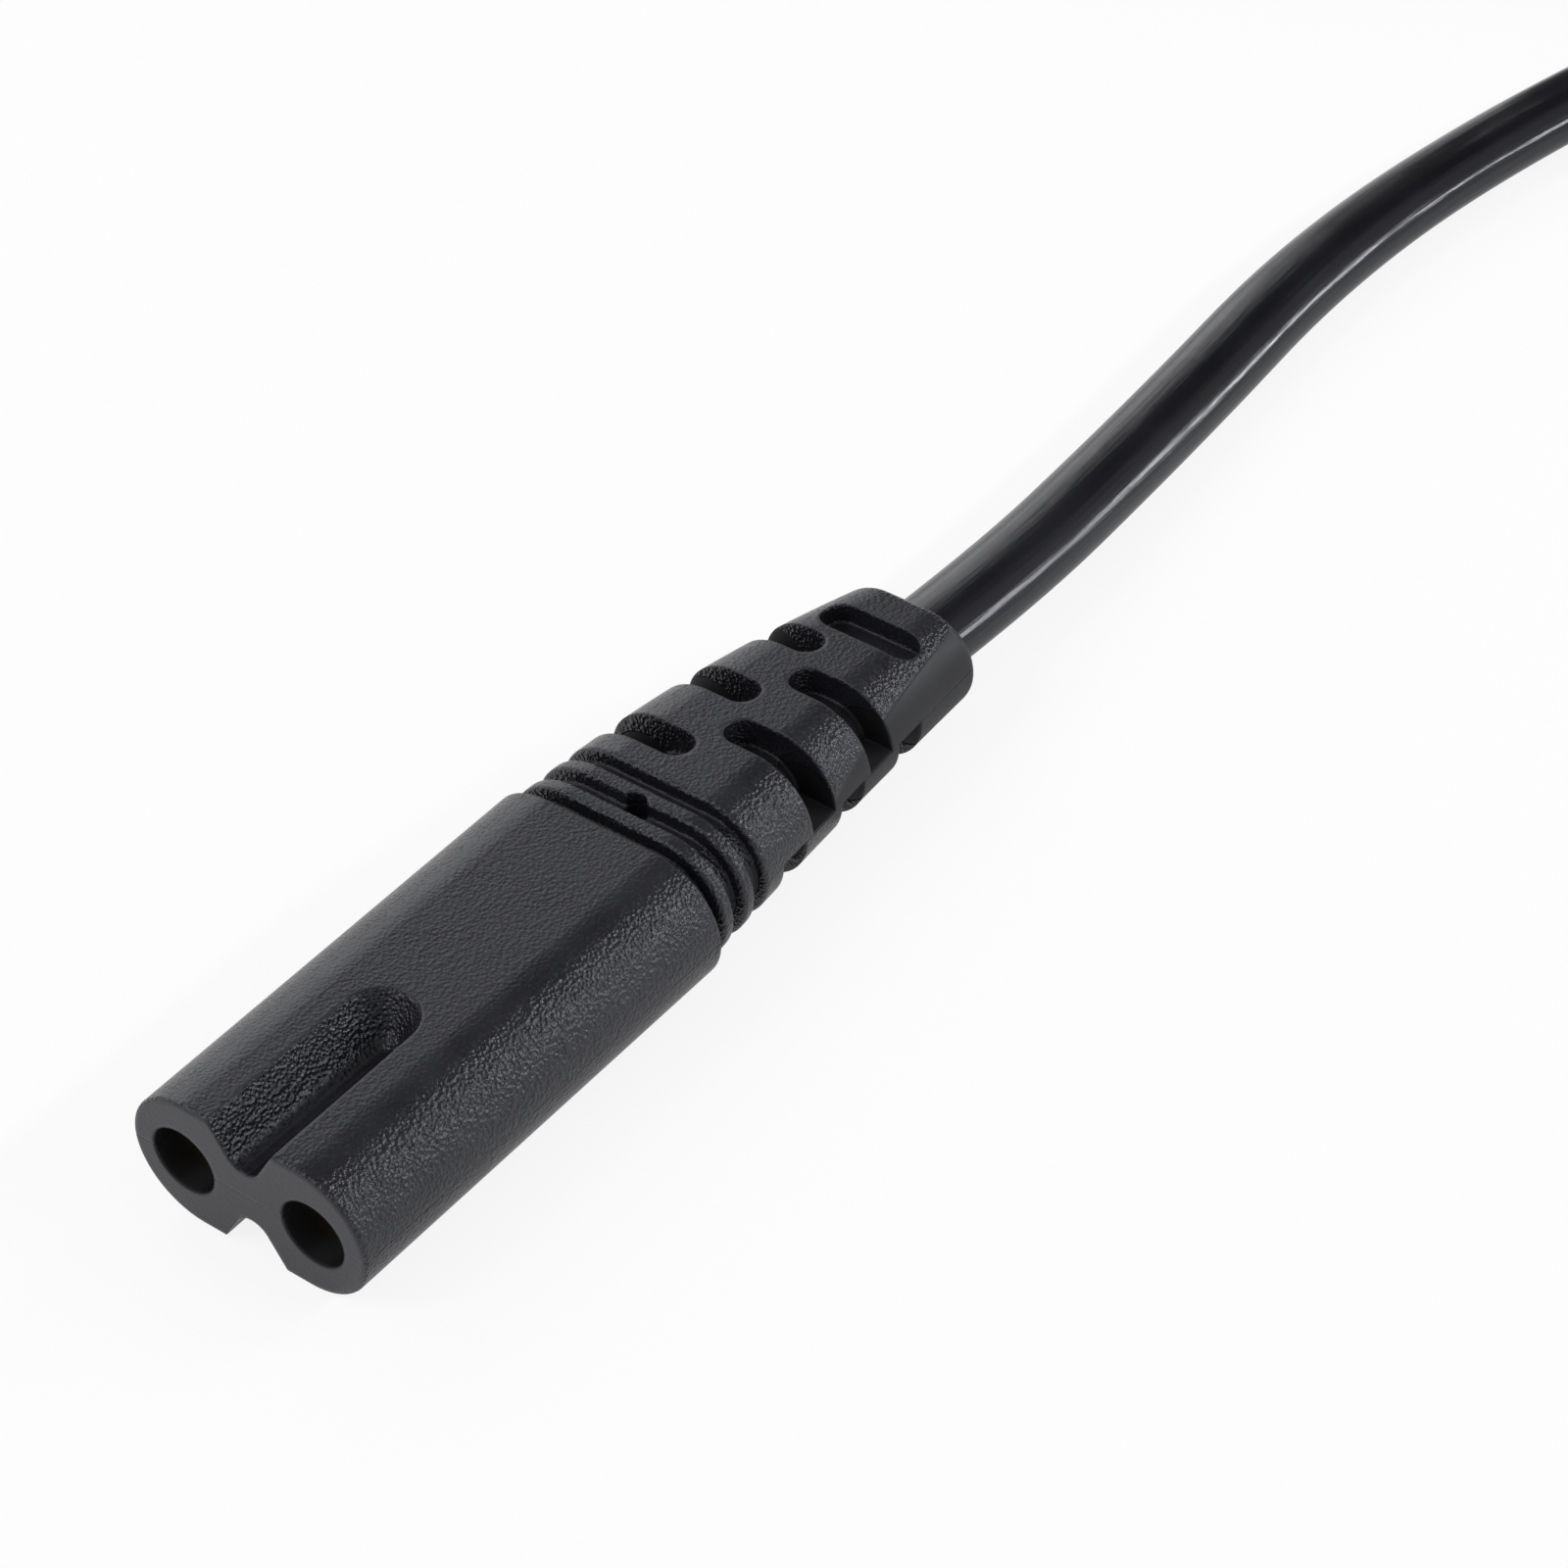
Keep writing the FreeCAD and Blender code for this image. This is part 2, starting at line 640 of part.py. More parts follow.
def notch_outline(sketch, half=False):
    """Sloping walls that meet a round floor, open above the block."""
    top = "Sizes.body_height / 2"
    floor = "Sizes.body_height / 2 - Sizes.notch_depth"
    radius, aside, rim = size("notch_round"), size("notch_width") / 2, size("body_height") / 2
    centre = rim - size("notch_depth") + radius
    slant = math.atan2(rim - centre, aside)
    reach = math.hypot(aside, rim - centre)
    swing = slant - math.acos(radius / reach)
    x, y = radius * math.cos(swing), centre + radius * math.sin(swing)
    over = size("body_height")
    foot = math.degrees(swing)
    if half:
        edges = sketch.addGeometry([
            arc(0, centre, radius, -90, foot), line(x, y, aside, rim),
            line(aside, rim, aside, over), line(aside, over, 0, over),
            line(0, over, 0, centre - radius),
        ], False)
        bend, wall, lip, lid, axis = edges
        fix(sketch, "Tangent", bend, 2, wall, 1)
        fix(sketch, "Coincident", wall, 2, lip, 1)
        fix(sketch, "Coincident", lip, 2, lid, 1)
        fix(sketch, "Coincident", lid, 2, axis, 1)
        fix(sketch, "Coincident", axis, 2, bend, 1)
        fix(sketch, "PointOnObject", axis, 1, UPWARD)
        fix(sketch, "Vertical", axis)
    else:
        edges = sketch.addGeometry([
            arc(0, centre, radius, -180 - foot, foot), line(x, y, aside, rim),
            line(aside, rim, aside, over), line(aside, over, -aside, over),
            line(-aside, over, -aside, rim), line(-aside, rim, -x, y),
        ], False)
        bend, wall, lip, lid, other_lip, other_wall = edges
        fix(sketch, "Tangent", bend, 2, wall, 1)
        fix(sketch, "Coincident", wall, 2, lip, 1)
        fix(sketch, "Coincident", lip, 2, lid, 1)
        fix(sketch, "Coincident", lid, 2, other_lip, 1)
        fix(sketch, "Coincident", other_lip, 2, other_wall, 1)
        fix(sketch, "Tangent", other_wall, 2, bend, 1)
        fix(sketch, "Vertical", other_lip)
        fix(sketch, "Symmetric", other_wall, 1, wall, 2, UPWARD)
    fix(sketch, "Vertical", lip)
    fix(sketch, "Horizontal", lid)
    fix(sketch, "PointOnObject", bend, 3, UPWARD)
    measure(sketch, "Radius", (bend,), "Sizes.notch_round")
    measure(sketch, "DistanceY", (*ORIGIN, bend, 3), f"{floor} + Sizes.notch_round")
    measure(sketch, "DistanceX", (*ORIGIN, wall, 2), "Sizes.notch_width / 2")
    measure(sketch, "DistanceY", (*ORIGIN, wall, 2), top)
    measure(sketch, "DistanceY", (*ORIGIN, lip, 2), "Sizes.body_height")


def repeat(body, feature, axis, spacing, count):
    """Repeats a cut along one of the body's axes."""
    pattern = add_feature(body, "LinearPattern", f"{feature.Name}_row", Originals=[feature])
    pattern.Direction = (origin_item(body, f"{axis}_Axis"), [""])
    pattern.Mode = "Spacing"
    pattern.Occurrences = count
    pattern.setExpression("Offset", spacing)
    body.Tip = pattern
    doc.recompute()


def turn_over(body, feature):
    """Copies a cut to the other side, turned half round the body's X axis."""
    pattern = add_feature(body, "PolarPattern", f"{feature.Name}_turned_over")
    pattern.Originals = [feature]
    pattern.Axis = (origin_item(body, "X_Axis"), [""])
    pattern.Angle = 360
    pattern.Occurrences = 2
    body.Tip = pattern
    doc.recompute()


def reflect(body, feature):
    """Copies a cut from the top of the body to its underside."""
    mirror = add_feature(body, "Mirrored", f"{feature.Name}_below", Originals=[feature])
    mirror.MirrorPlane = (origin_item(body, "XY_Plane"), [""])
    body.Tip = mirror
    doc.recompute()


def origin_item(body, role):
    return [item for item in body.Origin.OriginFeatures if item.Role == role][0]


# Plug

THERE = ("Sizes.plug_face_at", "Sizes.plug_side", "Sizes.plug_axis_height")


def make_pin(name, side):
    """Round brass pin: bare tip, thin neck under the collar, root in the bridge."""
    body = add_body(f"plug_pin_{name}", (THERE[0], f"{THERE[1]} + {side} * Sizes.pin_pitch / 2",
                                         THERE[2]))
    outline = add_sketch(body, f"pin_profile_{name}", "XY", ("-Sizes.pin_length", "0", "0"))
    full = "Sizes.pin_diameter / 2"
    neck = "Sizes.pin_neck / 2"
    bore = "Sizes.strand_diameter / 2"
    neck_end = "Sizes.pin_length + Sizes.bridge_front"
    root_end = "Sizes.pin_length + Sizes.pin_end"
    socket_end = f"{root_end} - Sizes.pin_socket"
    profile(outline, [
        ("0", "0"), ("0", full), ("Sizes.pin_bare", full), ("Sizes.pin_bare", neck),
        (neck_end, neck), (neck_end, full), (root_end, full), (root_end, bore),
        (socket_end, bore), (socket_end, "0"),
    ])
    revolve(body, outline)
    tip = edges_across(body, [-size("pin_length")])
    fillet(body, tip, "Sizes.pin_round", f"pin_tip_{name}")
    return body


def make_collar(name, side):
    """Insulating collar round the pin's neck."""
    body = add_body(f"pin_collar_{name}", (THERE[0], f"{THERE[1]} + {side} * Sizes.pin_pitch / 2",
                                           THERE[2]))
    start = "Sizes.pin_bare - Sizes.pin_length"
    ring = add_sketch(body, f"collar_ring_{name}", "YZ", ("0", "0", start))
    for across in ("Sizes.collar_diameter", "Sizes.pin_neck"):
        rim = ring.addGeometry(Part.Circle(Vector(), UP, worked_out(across) / 2), False)
        fix(ring, "Coincident", rim, 3, *ORIGIN)
        measure(ring, "Diameter", (rim,), across)
    pad(body, ring, "Sizes.pin_length - Sizes.pin_bare + Sizes.bridge_front")
    return body


def make_bridge():
    """Hard block inside the plug that holds both pins at their pitch."""
    body = add_body("plug_bridge", THERE)
    outline = add_sketch(body, "bridge_outline", "YZ", ("0", "0", "Sizes.bridge_front"))
    stadium(outline, "Sizes.bridge_width", "Sizes.bridge_height")
    pad(body, outline, "Sizes.bridge_length")
    seats = add_sketch(body, "bridge_seats", "YZ", ("0", "0", "Sizes.bridge_front"))
    circle_pair(seats, "Sizes.pin_pitch", "Sizes.pin_diameter")
    pocket(body, seats, "Sizes.pin_root")
    ways = add_sketch(body, "bridge_wire_ways", "YZ", ("0", "0", "Sizes.pin_end"))
    circle_pair(ways, "Sizes.pin_pitch", "Sizes.wire_diameter")
    pocket(body, ways)
    return body


def make_plug(insert):
    """Flat plug moulded over its bridge, wires and the end of the jacket."""
    body = add_body("plug_moulding", THERE)
    sections = [
        ("0", "Sizes.plug_width", "Sizes.plug_height"),
        ("Sizes.plug_block_length", "Sizes.plug_width", "Sizes.plug_height"),
        ("Sizes.plug_waist_at", "Sizes.plug_waist_width", "Sizes.plug_waist_height"),
        ("Sizes.plug_length", "Sizes.plug_tail_width", "Sizes.plug_tail_height"),
    ]
    rings = []
    for number, (station, width, height) in enumerate(sections):
        ring = add_sketch(body, f"plug_section_{number}", "YZ", ("0", "0", station))
        stadium(ring, width, height)
        rings.append(ring)
    loft(body, rings, "plug_form", ruled=True)
    for step in range(int(size("plug_ring_count"))):
        share = f"({step} + 0.5) / Sizes.plug_ring_count"
        drop = f"{share} * (Sizes.plug_waist_{{0}} - Sizes.plug_tail_{{0}})"
        core = f"Sizes.plug_waist_{{0}} - {drop} - 2 * Sizes.plug_ring_depth"
        station = f"Sizes.plug_waist_at + ({step} + 1) * Sizes.plug_ring_pitch"
        groove = add_sketch(body, f"plug_ring_{step}", "YZ", ("0", "0", station))
        box(groove, "-Sizes.plug_width", "Sizes.plug_width", "-Sizes.plug_height",
            "Sizes.plug_height")
        stadium(groove, core.format("width"), core.format("height"))
        pocket(body, groove, "Sizes.plug_ring_width")
    fillet(body, edges_across(body, [0, size("plug_length")]), "Sizes.plug_round", "plug_rounds")
    return combine("plug_body", "Cut", Base=body, Tool=insert, Refine=False)


# Hank

def make_hank():
    """Outer shape of the folded lead, layer on layer, with the room where the lead comes in."""
    at = ("Sizes.hank_start + Sizes.hank_length / 2", "Sizes.hank_side", "Sizes.tie_thickness")
    body = add_body("cord_hank", at)
    outline = add_sketch(body, "hank_outline", "XY")
    stadium(outline, "Sizes.hank_length", "2 * Sizes.hank_outer_radius")
    eye = "Sizes.hank_length - 2 * (Sizes.hank_outer_radius - Sizes.hank_inner_radius)"
    stadium(outline, eye, "2 * Sizes.hank_inner_radius")
    pad(body, outline, "Sizes.hank_height")
    lead_in = add_sketch(body, "hank_lead_in", "XY")
    box(lead_in, "-Sizes.hank_length", "Sizes.hank_outer_radius - Sizes.hank_length / 2",
        "-2 * Sizes.hank_outer_radius", "Sizes.cord_width / 2 + Sizes.lead_in_gap - Sizes.fold_radius")
    pocket(body, lead_in, "Sizes.layer_height")
    return body


def make_tie():
    """Strap closed round the whole hank, with its end laid over on top."""
    at = ("Sizes.hank_start + Sizes.tie_place", "Sizes.hank_side", "Sizes.tie_thickness")
    body = add_body("cord_tie", at)
    band = add_sketch(body, "tie_band", "YZ", ("0", "0", "-Sizes.tie_width / 2"))
    radius, thick = "Sizes.hank_outer_radius", "Sizes.tie_thickness"
    box(band, f"-{radius} - {thick}", f"{radius} + {thick}", f"-{thick}",
        f"Sizes.hank_height + {thick}")
    box(band, f"-{radius}", radius, "0", "Sizes.hank_height")
    pad(body, band, "Sizes.tie_width")
    corners = edges_along(body, size("hank_outer_radius") + size("tie_thickness"))
    fillet(body, corners, "Sizes.tie_corner", "tie_corners")
    overlap = add_sketch(body, "tie_end", "YZ", ("0", "0", "-Sizes.tie_width / 2"))
    box(overlap, f"{radius} - Sizes.tie_overlap", radius, f"Sizes.hank_height + {thick}",
        f"Sizes.hank_height + 2 * {thick}")
    pad(body, overlap, "Sizes.tie_width")
    return body


def edges_along(body, aside):
    """Names of the edges that run along X at a distance to either side."""
    return [f"Edge{index}" for index, edge in enumerate(body.Tip.Shape.Edges, start=1)
            if edge.BoundBox.XLength > 1 and abs(abs(edge.CenterOfMass.y) - aside) < 1e-3]


# Cord route, in the frame of the whole part: each place along X is from the relief's end
RUN = [
    Vector(-18.8, 0.0, 4.1),
    Vector(3.2, -1.8, 3.35),
    Vector(26.2, 0.25, 1.75),
    Vector(46.2, 1.8, 1.9),
    Vector(65.2, -1.0, 2.12),
    Vector(85.2, -6.9, 2.2),
    Vector(97.0, -7.95, 2.5),
    Vector(107.4, -7.95, 2.5),
]
TAIL = [
    Vector(108.0, -7.95, 20.25),
    Vector(125.0, -7.95, 20.25),
    Vector(144.0, -8.2, 21.2),
    Vector(162.0, -8.4, 21.7),
    Vector(178.3, -8.3, 22.5),
    Vector(188.8, 2.2, 23.7),
    Vector(188.8, 16.8, 24.8),
    Vector(178.3, 27.3, 25.4),
    Vector(163.5, 27.3, 25.4),
    Vector(149.1, 27.2, 25.4),
]


def cord_tube(points, report):
    """The flat jacket along one stretch of the route."""
    rear = Vector(size("overall_length") / 2, 0, 0)
    points = [point + rear for point in points]
    path = tangent_path(points, report)
    along = points[1] - points[0]
    section = flat_section(points[0], along, size("cord_width"), size("cord_height"))
    return sweep(path, section)


def build():
    carrier = make_carrier()
    for name, side in SIDES.items():
        make_sleeve(name, side)
    make_hank()
    make_tie()
    run = add_shape("cord_run", cord_tube(RUN, "cord_run"))
    tail = add_shape("cord_tail", cord_tube(TAIL, "cord_tail"))

    inner = [carrier, run]
    for name, side in SIDES.items():
        sides = (side * size("contact_pitch") / 2, side * size("wire_side"))
        wire = add_wires((f"wire_{name}", f"conductor_{name}"), sides, size("crimp_end"),
                         size("carrier_end") + size("wire_straight"), size("wire_bend_length"),
                         size("jacket_front"), HERE, size("crimp_front"))
        inner.append(add_shape(f"wire_way_{name}", wire, HERE))
        inner.append(add_seat(f"contact_seat_{name}", HERE, f"{side} * Sizes.contact_pitch / 2",
                              "Sizes.carrier_front", "Sizes.crimp_end", "Sizes.sleeve_outer"))
    insert = combine("connector_insert", "MultiFuse", Shapes=inner)
    make_connector(insert)

    bridge = make_bridge()
    inner = [bridge, tail]
    for name, side in SIDES.items():
        make_pin(name, side)
        make_collar(name, side)
        aside = f"{side} * Sizes.pin_pitch / 2"
        inner.append(add_seat(f"collar_seat_{name}", THERE, aside,
                              "0", "Sizes.bridge_front", "Sizes.collar_diameter"))
        inner.append(add_seat(f"root_seat_{name}", THERE, aside,
                              "Sizes.bridge_front", "Sizes.pin_end", "Sizes.pin_diameter"))
        sides = (side * size("pin_pitch") / 2, side * size("wire_side"))
        wire = add_wires((f"plug_wire_{name}", f"plug_conductor_{name}"), sides, size("pin_end"),
                         size("bridge_end") + size("wire_straight"), size("plug_wire_bend"),
                         size("plug_jacket_front"), THERE, size("pin_end") - size("pin_socket"))
        inner.append(add_shape(f"plug_wire_way_{name}", wire, THERE))
    insert = combine("plug_insert", "MultiFuse", Shapes=inner)
    make_plug(insert)


NODES = [
    "connector_body", "contact_carrier",
    "contact_sleeve_left", "contact_sleeve_right",
    "wire_left", "wire_right", "conductor_left", "conductor_right",
    "cord_run", "cord_hank", "cord_tail", "cord_tie",
    "plug_body", "plug_bridge",
    "plug_pin_left", "plug_pin_right", "pin_collar_left", "pin_collar_right",
    "plug_wire_left", "plug_wire_right", "plug_conductor_left", "plug_conductor_right",
]


def check():
    """Stops before anything is written if an object failed or a shape is unsound."""
    failed = [thing.Label for thing in doc.Objects if {"Invalid", "Error"} & set(thing.State)]
    if failed:
        raise ValueError(f"failed objects: {failed}")
    for node in NODES:
        shape = doc.getObject(node).Shape
        if shape.isNull() or not shape.isValid() or len(shape.Solids) != 1:
            raise ValueError(f"{node} isn't one sound solid")
        print(f"{node}: {shape.Volume:.1f} cubic mm")


build()
check()
for node in NODES:
    doc.getObject(node).Shape.exportStep(f"parts/{node}.step")
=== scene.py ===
# %% [markdown]
# # A moulded power connector on its flat lead
#
# The connector is one piece of charcoal PVC, moulded over brass contacts and over the end of a flat
# two-core cord. Its rigid pieces come from the frame at their true size and only get their finish
# here. The cord and the strap round it are soft, so both are modelled in this file.

# %% Frame
import math

import bpy
from mathutils import Matrix, Vector


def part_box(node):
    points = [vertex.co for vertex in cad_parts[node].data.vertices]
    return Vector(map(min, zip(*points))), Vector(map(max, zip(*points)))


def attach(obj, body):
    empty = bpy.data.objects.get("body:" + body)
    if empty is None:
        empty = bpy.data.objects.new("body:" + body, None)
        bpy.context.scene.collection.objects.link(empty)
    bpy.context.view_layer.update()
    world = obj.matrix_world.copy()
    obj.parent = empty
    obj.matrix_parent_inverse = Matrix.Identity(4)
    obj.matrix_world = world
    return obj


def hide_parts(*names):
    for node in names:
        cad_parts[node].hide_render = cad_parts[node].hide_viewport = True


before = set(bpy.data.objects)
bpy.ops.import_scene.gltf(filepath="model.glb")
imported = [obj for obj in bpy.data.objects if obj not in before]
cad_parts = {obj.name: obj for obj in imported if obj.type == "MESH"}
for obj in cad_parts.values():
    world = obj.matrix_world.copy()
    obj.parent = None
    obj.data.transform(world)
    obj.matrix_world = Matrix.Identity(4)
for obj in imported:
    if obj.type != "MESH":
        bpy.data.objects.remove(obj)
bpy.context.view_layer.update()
MM = 0.001
print("frame nodes:", len(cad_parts))

# %% [markdown]
# ## Camera
#
# The picture was taken from the front left, about forty degrees up, with a long lens. A camera
# could be turned by three angles, but it is easier to keep in order as a place, a point that it
# looks at and a small roll. The lens follows from the focal length in pixels, so the frame is the
# same at any render size.

# %% Camera
CAMERA_AT = Vector((-134.124, -124.632, 171.048)) * MM
CAMERA_AIM = Vector((12.633, -2.767, 4.1)) * MM
CAMERA_ROLL = math.radians(-3.069)
FOCAL_PIXELS = 4819.6
IMAGE_PIXELS = 1600
SENSOR_WIDTH = 36.0
NEAREST_SEEN = 10 * MM

camera_data = bpy.data.cameras.new("camera")
camera_data.sensor_width = SENSOR_WIDTH
camera_data.lens = SENSOR_WIDTH * FOCAL_PIXELS / IMAGE_PIXELS
camera_data.clip_start = NEAREST_SEEN
camera = bpy.data.objects.new("camera", camera_data)
bpy.context.collection.objects.link(camera)
camera.location = CAMERA_AT
looking = (CAMERA_AIM - CAMERA_AT).to_track_quat("-Z", "Y").to_matrix()
camera.rotation_euler = (looking @ Matrix.Rotation(CAMERA_ROLL, 3, "Z")).to_euler()
bpy.context.scene.camera = camera
print("lens in mm:", round(camera_data.lens, 1))

# %% [markdown]
# ## Route of the cord
#
# A real cord is a fixed length of something springy, so its line bends smoothly everywhere. It
# could be drawn with arcs and straight runs, but that looks like bent wire, so it is one NURBS
# spline. The first points carry it out of the strain relief and along the surface, where it sways
# a little. The spare length is folded into a hank of five layers and tied, and the last points
# carry the cord over the hank and into its plug. Points are in millimetres, and each place along X
# is counted from the end of the relief.

# %% Points of the free stretches
RELIEF_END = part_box("connector_body")[1].x / MM
RUN = [
    (-18.8, 0.0, 4.1),
    (3.2, -1.8, 3.35),
    (26.2, 0.25, 1.75),
    (46.2, 1.8, 1.9),
    (65.2, -1.0, 2.12),
    (85.2, -6.9, 2.2),
    (97.0, -7.95, 2.5),
    (107.4, -7.95, 2.5),
]
TAIL = [
    (108.0, -7.95, 20.25),
    (125.0, -7.95, 20.25),
    (144.0, -8.2, 21.2),
    (162.0, -8.4, 21.7),
    (178.3, -8.3, 22.5),
    (188.8, 2.2, 23.7),
    (188.8, 16.8, 24.8),
    (178.3, 27.3, 25.4),
    (163.5, 27.3, 25.4),
    (149.1, 27.2, 25.4),
]
print("relief ends at", round(RELIEF_END, 1), "mm; free points:", len(RUN) + len(TAIL))

# %% [markdown]
# The hank is a stack: every turn has the same outline and lies on the one before it. The climb to
# the next layer is spread over the fold behind, so each turn stays one cord's height above its
# neighbour all the way round. A quadratic spline touches the middle of each leg of its control
# polygon, so points at the radius divided by the cosine of half a step draw a true round.

# %% Points of the hank
LAYERS = 5
LAYER_HEIGHT = 3.55
FIRST_LAYER = 2.5
FOLD_RADIUS = 17.2
REAR_FOLD = 107.4
FRONT_FOLD = 175.6
HANK_MIDDLE = 9.25
FOLD_POINTS = 5
FOLD_STEP = math.pi / FOLD_POINTS


def ease(share):
    """A smooth climb from 0 to 1."""
    share = min(max(share, 0.0), 1.0)
    return share * share * (3 - 2 * share)


def straight_points(start, end, side, height):
    """Three points along one long side of a turn."""
    inset = FOLD_RADIUS * math.tan(FOLD_STEP / 2)
    way = 1 if end > start else -1
    places = (start + way * inset, (start + end) / 2, end - way * inset)
    return [(place, HANK_MIDDLE + side * FOLD_RADIUS, height) for place in places]


def fold_points(centre, first_angle, height, climb):
    """The points of one fold, half a circle that may climb on its way."""
    reach = FOLD_RADIUS / math.cos(FOLD_STEP / 2)
    points = []
    for step in range(FOLD_POINTS):
        share = (step + 0.5) / FOLD_POINTS
        angle = first_angle + share * math.pi
        x = centre + reach * math.cos(angle)
        y = HANK_MIDDLE + reach * math.sin(angle)
        points.append((x, y, height + climb * ease(share)))
    return points


turns = []
for layer in range(LAYERS):
    height = FIRST_LAYER + layer * LAYER_HEIGHT
    turns += straight_points(REAR_FOLD, FRONT_FOLD, -1, height)
    turns += fold_points(FRONT_FOLD, -math.pi / 2, height, 0.0)
    turns += straight_points(FRONT_FOLD, REAR_FOLD, 1, height)
    turns += fold_points(REAR_FOLD, math.pi / 2, height, LAYER_HEIGHT)
route = [Vector((x + RELIEF_END, y, z)) * MM for x, y, z in RUN + turns + TAIL]
print("points of the route:", len(route))

# %% [markdown]
# ## Cord
#
# The jacket is a flat oval, 5.4 mm wide and 3.4 mm high. A curve's own bevel could make it, but it
# can't turn a flat section where the cord twists, so the jacket is a mesh tube that follows points
# read from the spline. The spline's order is set after its points are added, because an empty
# spline doesn't keep it.

# %% Points along the spline
SPLINE_STEPS = 14

curve_data = bpy.data.curves.new("cord_line", "CURVE")
curve_data.dimensions = "3D"
curve_data.resolution_u = SPLINE_STEPS
spline = curve_data.splines.new("NURBS")
spline.points.add(len(route) - 1)
for point, place in zip(spline.points, route):
    point.co = (*place, 1.0)
spline.order_u = 3
spline.use_endpoint_u = True
curve_object = bpy.data.objects.new("cord_line", curve_data)
bpy.context.collection.objects.link(curve_object)
line_mesh = bpy.data.meshes.new_from_object(curve_object)
line = [vertex.co.copy() for vertex in line_mesh.vertices]
bpy.data.objects.remove(curve_object)
bpy.data.meshes.remove(line_mesh)

cord_length = sum((after - before).length for before, after in zip(line, line[1:]))
print("points along the cord:", len(line), "length in m:", round(cord_length, 3))

# %% [markdown]
# Two round cores lie side by side in the jacket, so its section is fuller than an ellipse. Powers
# of the cosine and the sine draw such an oval, and one number sets how full it is. A flat cord
# lies on its wide side, but it keeps a little twist from its drum, so it turns a few degrees half
# way along its free stretch and back again.

# %% Section and twist
CORD_WIDTH = 5.4 * MM
CORD_HEIGHT = 3.4 * MM
ROUNDNESS = 2.2
SECTION_POINTS = 36
TWIST = math.radians(-6)
TWIST_STARTS = (34, 62)
TWIST_ENDS = (76, 98)
TWIST_BELOW = 2 * CORD_HEIGHT


def cord_section():
    """A flat oval, fuller than an ellipse, as (across, up) pairs."""
    outline = []
    for step in range(SECTION_POINTS):
        angle = 2 * math.pi * step / SECTION_POINTS
        across, up = math.cos(angle), math.sin(angle)
        across = math.copysign(abs(across) ** (2 / ROUNDNESS), across)
        up = math.copysign(abs(up) ** (2 / ROUNDNESS), up)
        outline.append((across * CORD_WIDTH / 2, up * CORD_HEIGHT / 2))
    return outline


def twist_at(place):
    """How far the section has turned. Only what lies low is twisted, and not the hank above."""
    along = place.x / MM - RELIEF_END
    if place.z > TWIST_BELOW:
        return 0.0
    rise = ease((along - TWIST_STARTS[0]) / (TWIST_STARTS[1] - TWIST_STARTS[0]))
    fall = ease((along - TWIST_ENDS[0]) / (TWIST_ENDS[1] - TWIST_ENDS[0]))
    return TWIST * (rise - fall)


section = cord_section()
print("points of the section:", len(section))

# %% [markdown]
# A ring of points stands at each place of the line, at right angles to the way the cord goes
# there. Faces join each ring to the next one. The tube also gets a map of its own, so that a
# finish can follow it round every bend.

# %% Tube
UP = Vector((0, 0, 1))


def tube_points(places, section, twist):
    """The points of every ring, with the section level unless it is twisted."""
    points = []
    for index, place in enumerate(places):
        before = places[max(index - 1, 0)]
        after = places[min(index + 1, len(places) - 1)]
        along = (after - before).normalized()
        side = UP.cross(along).normalized()
        rise = along.cross(side)
        turn = Matrix.Rotation(twist(place), 3, along)
        side, rise = turn @ side, turn @ rise
        points += [place + side * across + rise * up for across, up in section]
    return points


def tube_faces(rings, count):
    """The faces between the rings, and a cap at each end."""
    faces = []
    for near in range(0, (rings - 1) * count, count):
        for step in range(count):
            after = (step + 1) % count
            faces.append((near + step, near + after, near + count + after, near + count + step))
    last = (rings - 1) * count
    faces.append(tuple(reversed(range(count))))
    faces.append(tuple(range(last, last + count)))
    return faces


def map_tube(mesh, places, count):
    """A UV map of the distance along the tube and the share of the way round."""
    lengths = [0.0]
    for before, after in zip(places, places[1:]):
        lengths.append(lengths[-1] + (after - before).length)
    layer = mesh.uv_layers.new(name="along_and_round")
    for polygon in mesh.polygons:
        steps = [vertex % count for vertex in polygon.vertices]
        over_seam = len(steps) == 4 and max(steps) == count - 1
        for corner in polygon.loop_indices:
            ring, step = divmod(mesh.loops[corner].vertex_index, count)
            share = 1.0 if over_seam and step == 0 else step / count
            layer.data[corner].uv = (lengths[ring], share)


cord_faces = tube_faces(len(line), len(section))
cord_mesh = bpy.data.meshes.new("cord")
cord_mesh.from_pydata(tube_points(line, section, twist_at), [], cord_faces)
map_tube(cord_mesh, line, len(section))
cord_mesh.polygons.foreach_set("use_smooth", [len(face) == 4 for face in cord_faces])
cord_mesh.update()
cord = bpy.data.objects.new("cord", cord_mesh)
bpy.context.collection.objects.link(cord)
print("cord faces:", len(cord_mesh.polygons))

# %% [markdown]
# ## Tie
#
# A woven strap holds the hank. It could be a curve with a flat bevel, but the strap has the same
# outer size as the plain tie of the frame, so it starts as a block of that size. Its two open ends
# are deleted, the long corners are bevelled round, and Solidify gives the strap its thickness.

# %% Helpers for modelling
CORNER_SEGMENTS = 6
EDGE_ROUNDING = 0.25 * MM
SMOOTH_BELOW = math.radians(35)


def select_only(piece):
    """Makes one piece the only selected and active one."""
    bpy.ops.object.select_all(action="DESELECT")
    piece.select_set(True)
    bpy.context.view_layer.objects.active = piece


def add_block(name, low, high):
    """A block between two corners, with its place kept in its mesh."""
    bpy.ops.object.select_all(action="DESELECT")
    bpy.ops.mesh.primitive_cube_add(size=1, location=(low + high) / 2)
    block = bpy.context.object
    block.name = name
    block.scale = high - low
    bpy.ops.object.transform_apply(location=True, rotation=True, scale=True)
    return block


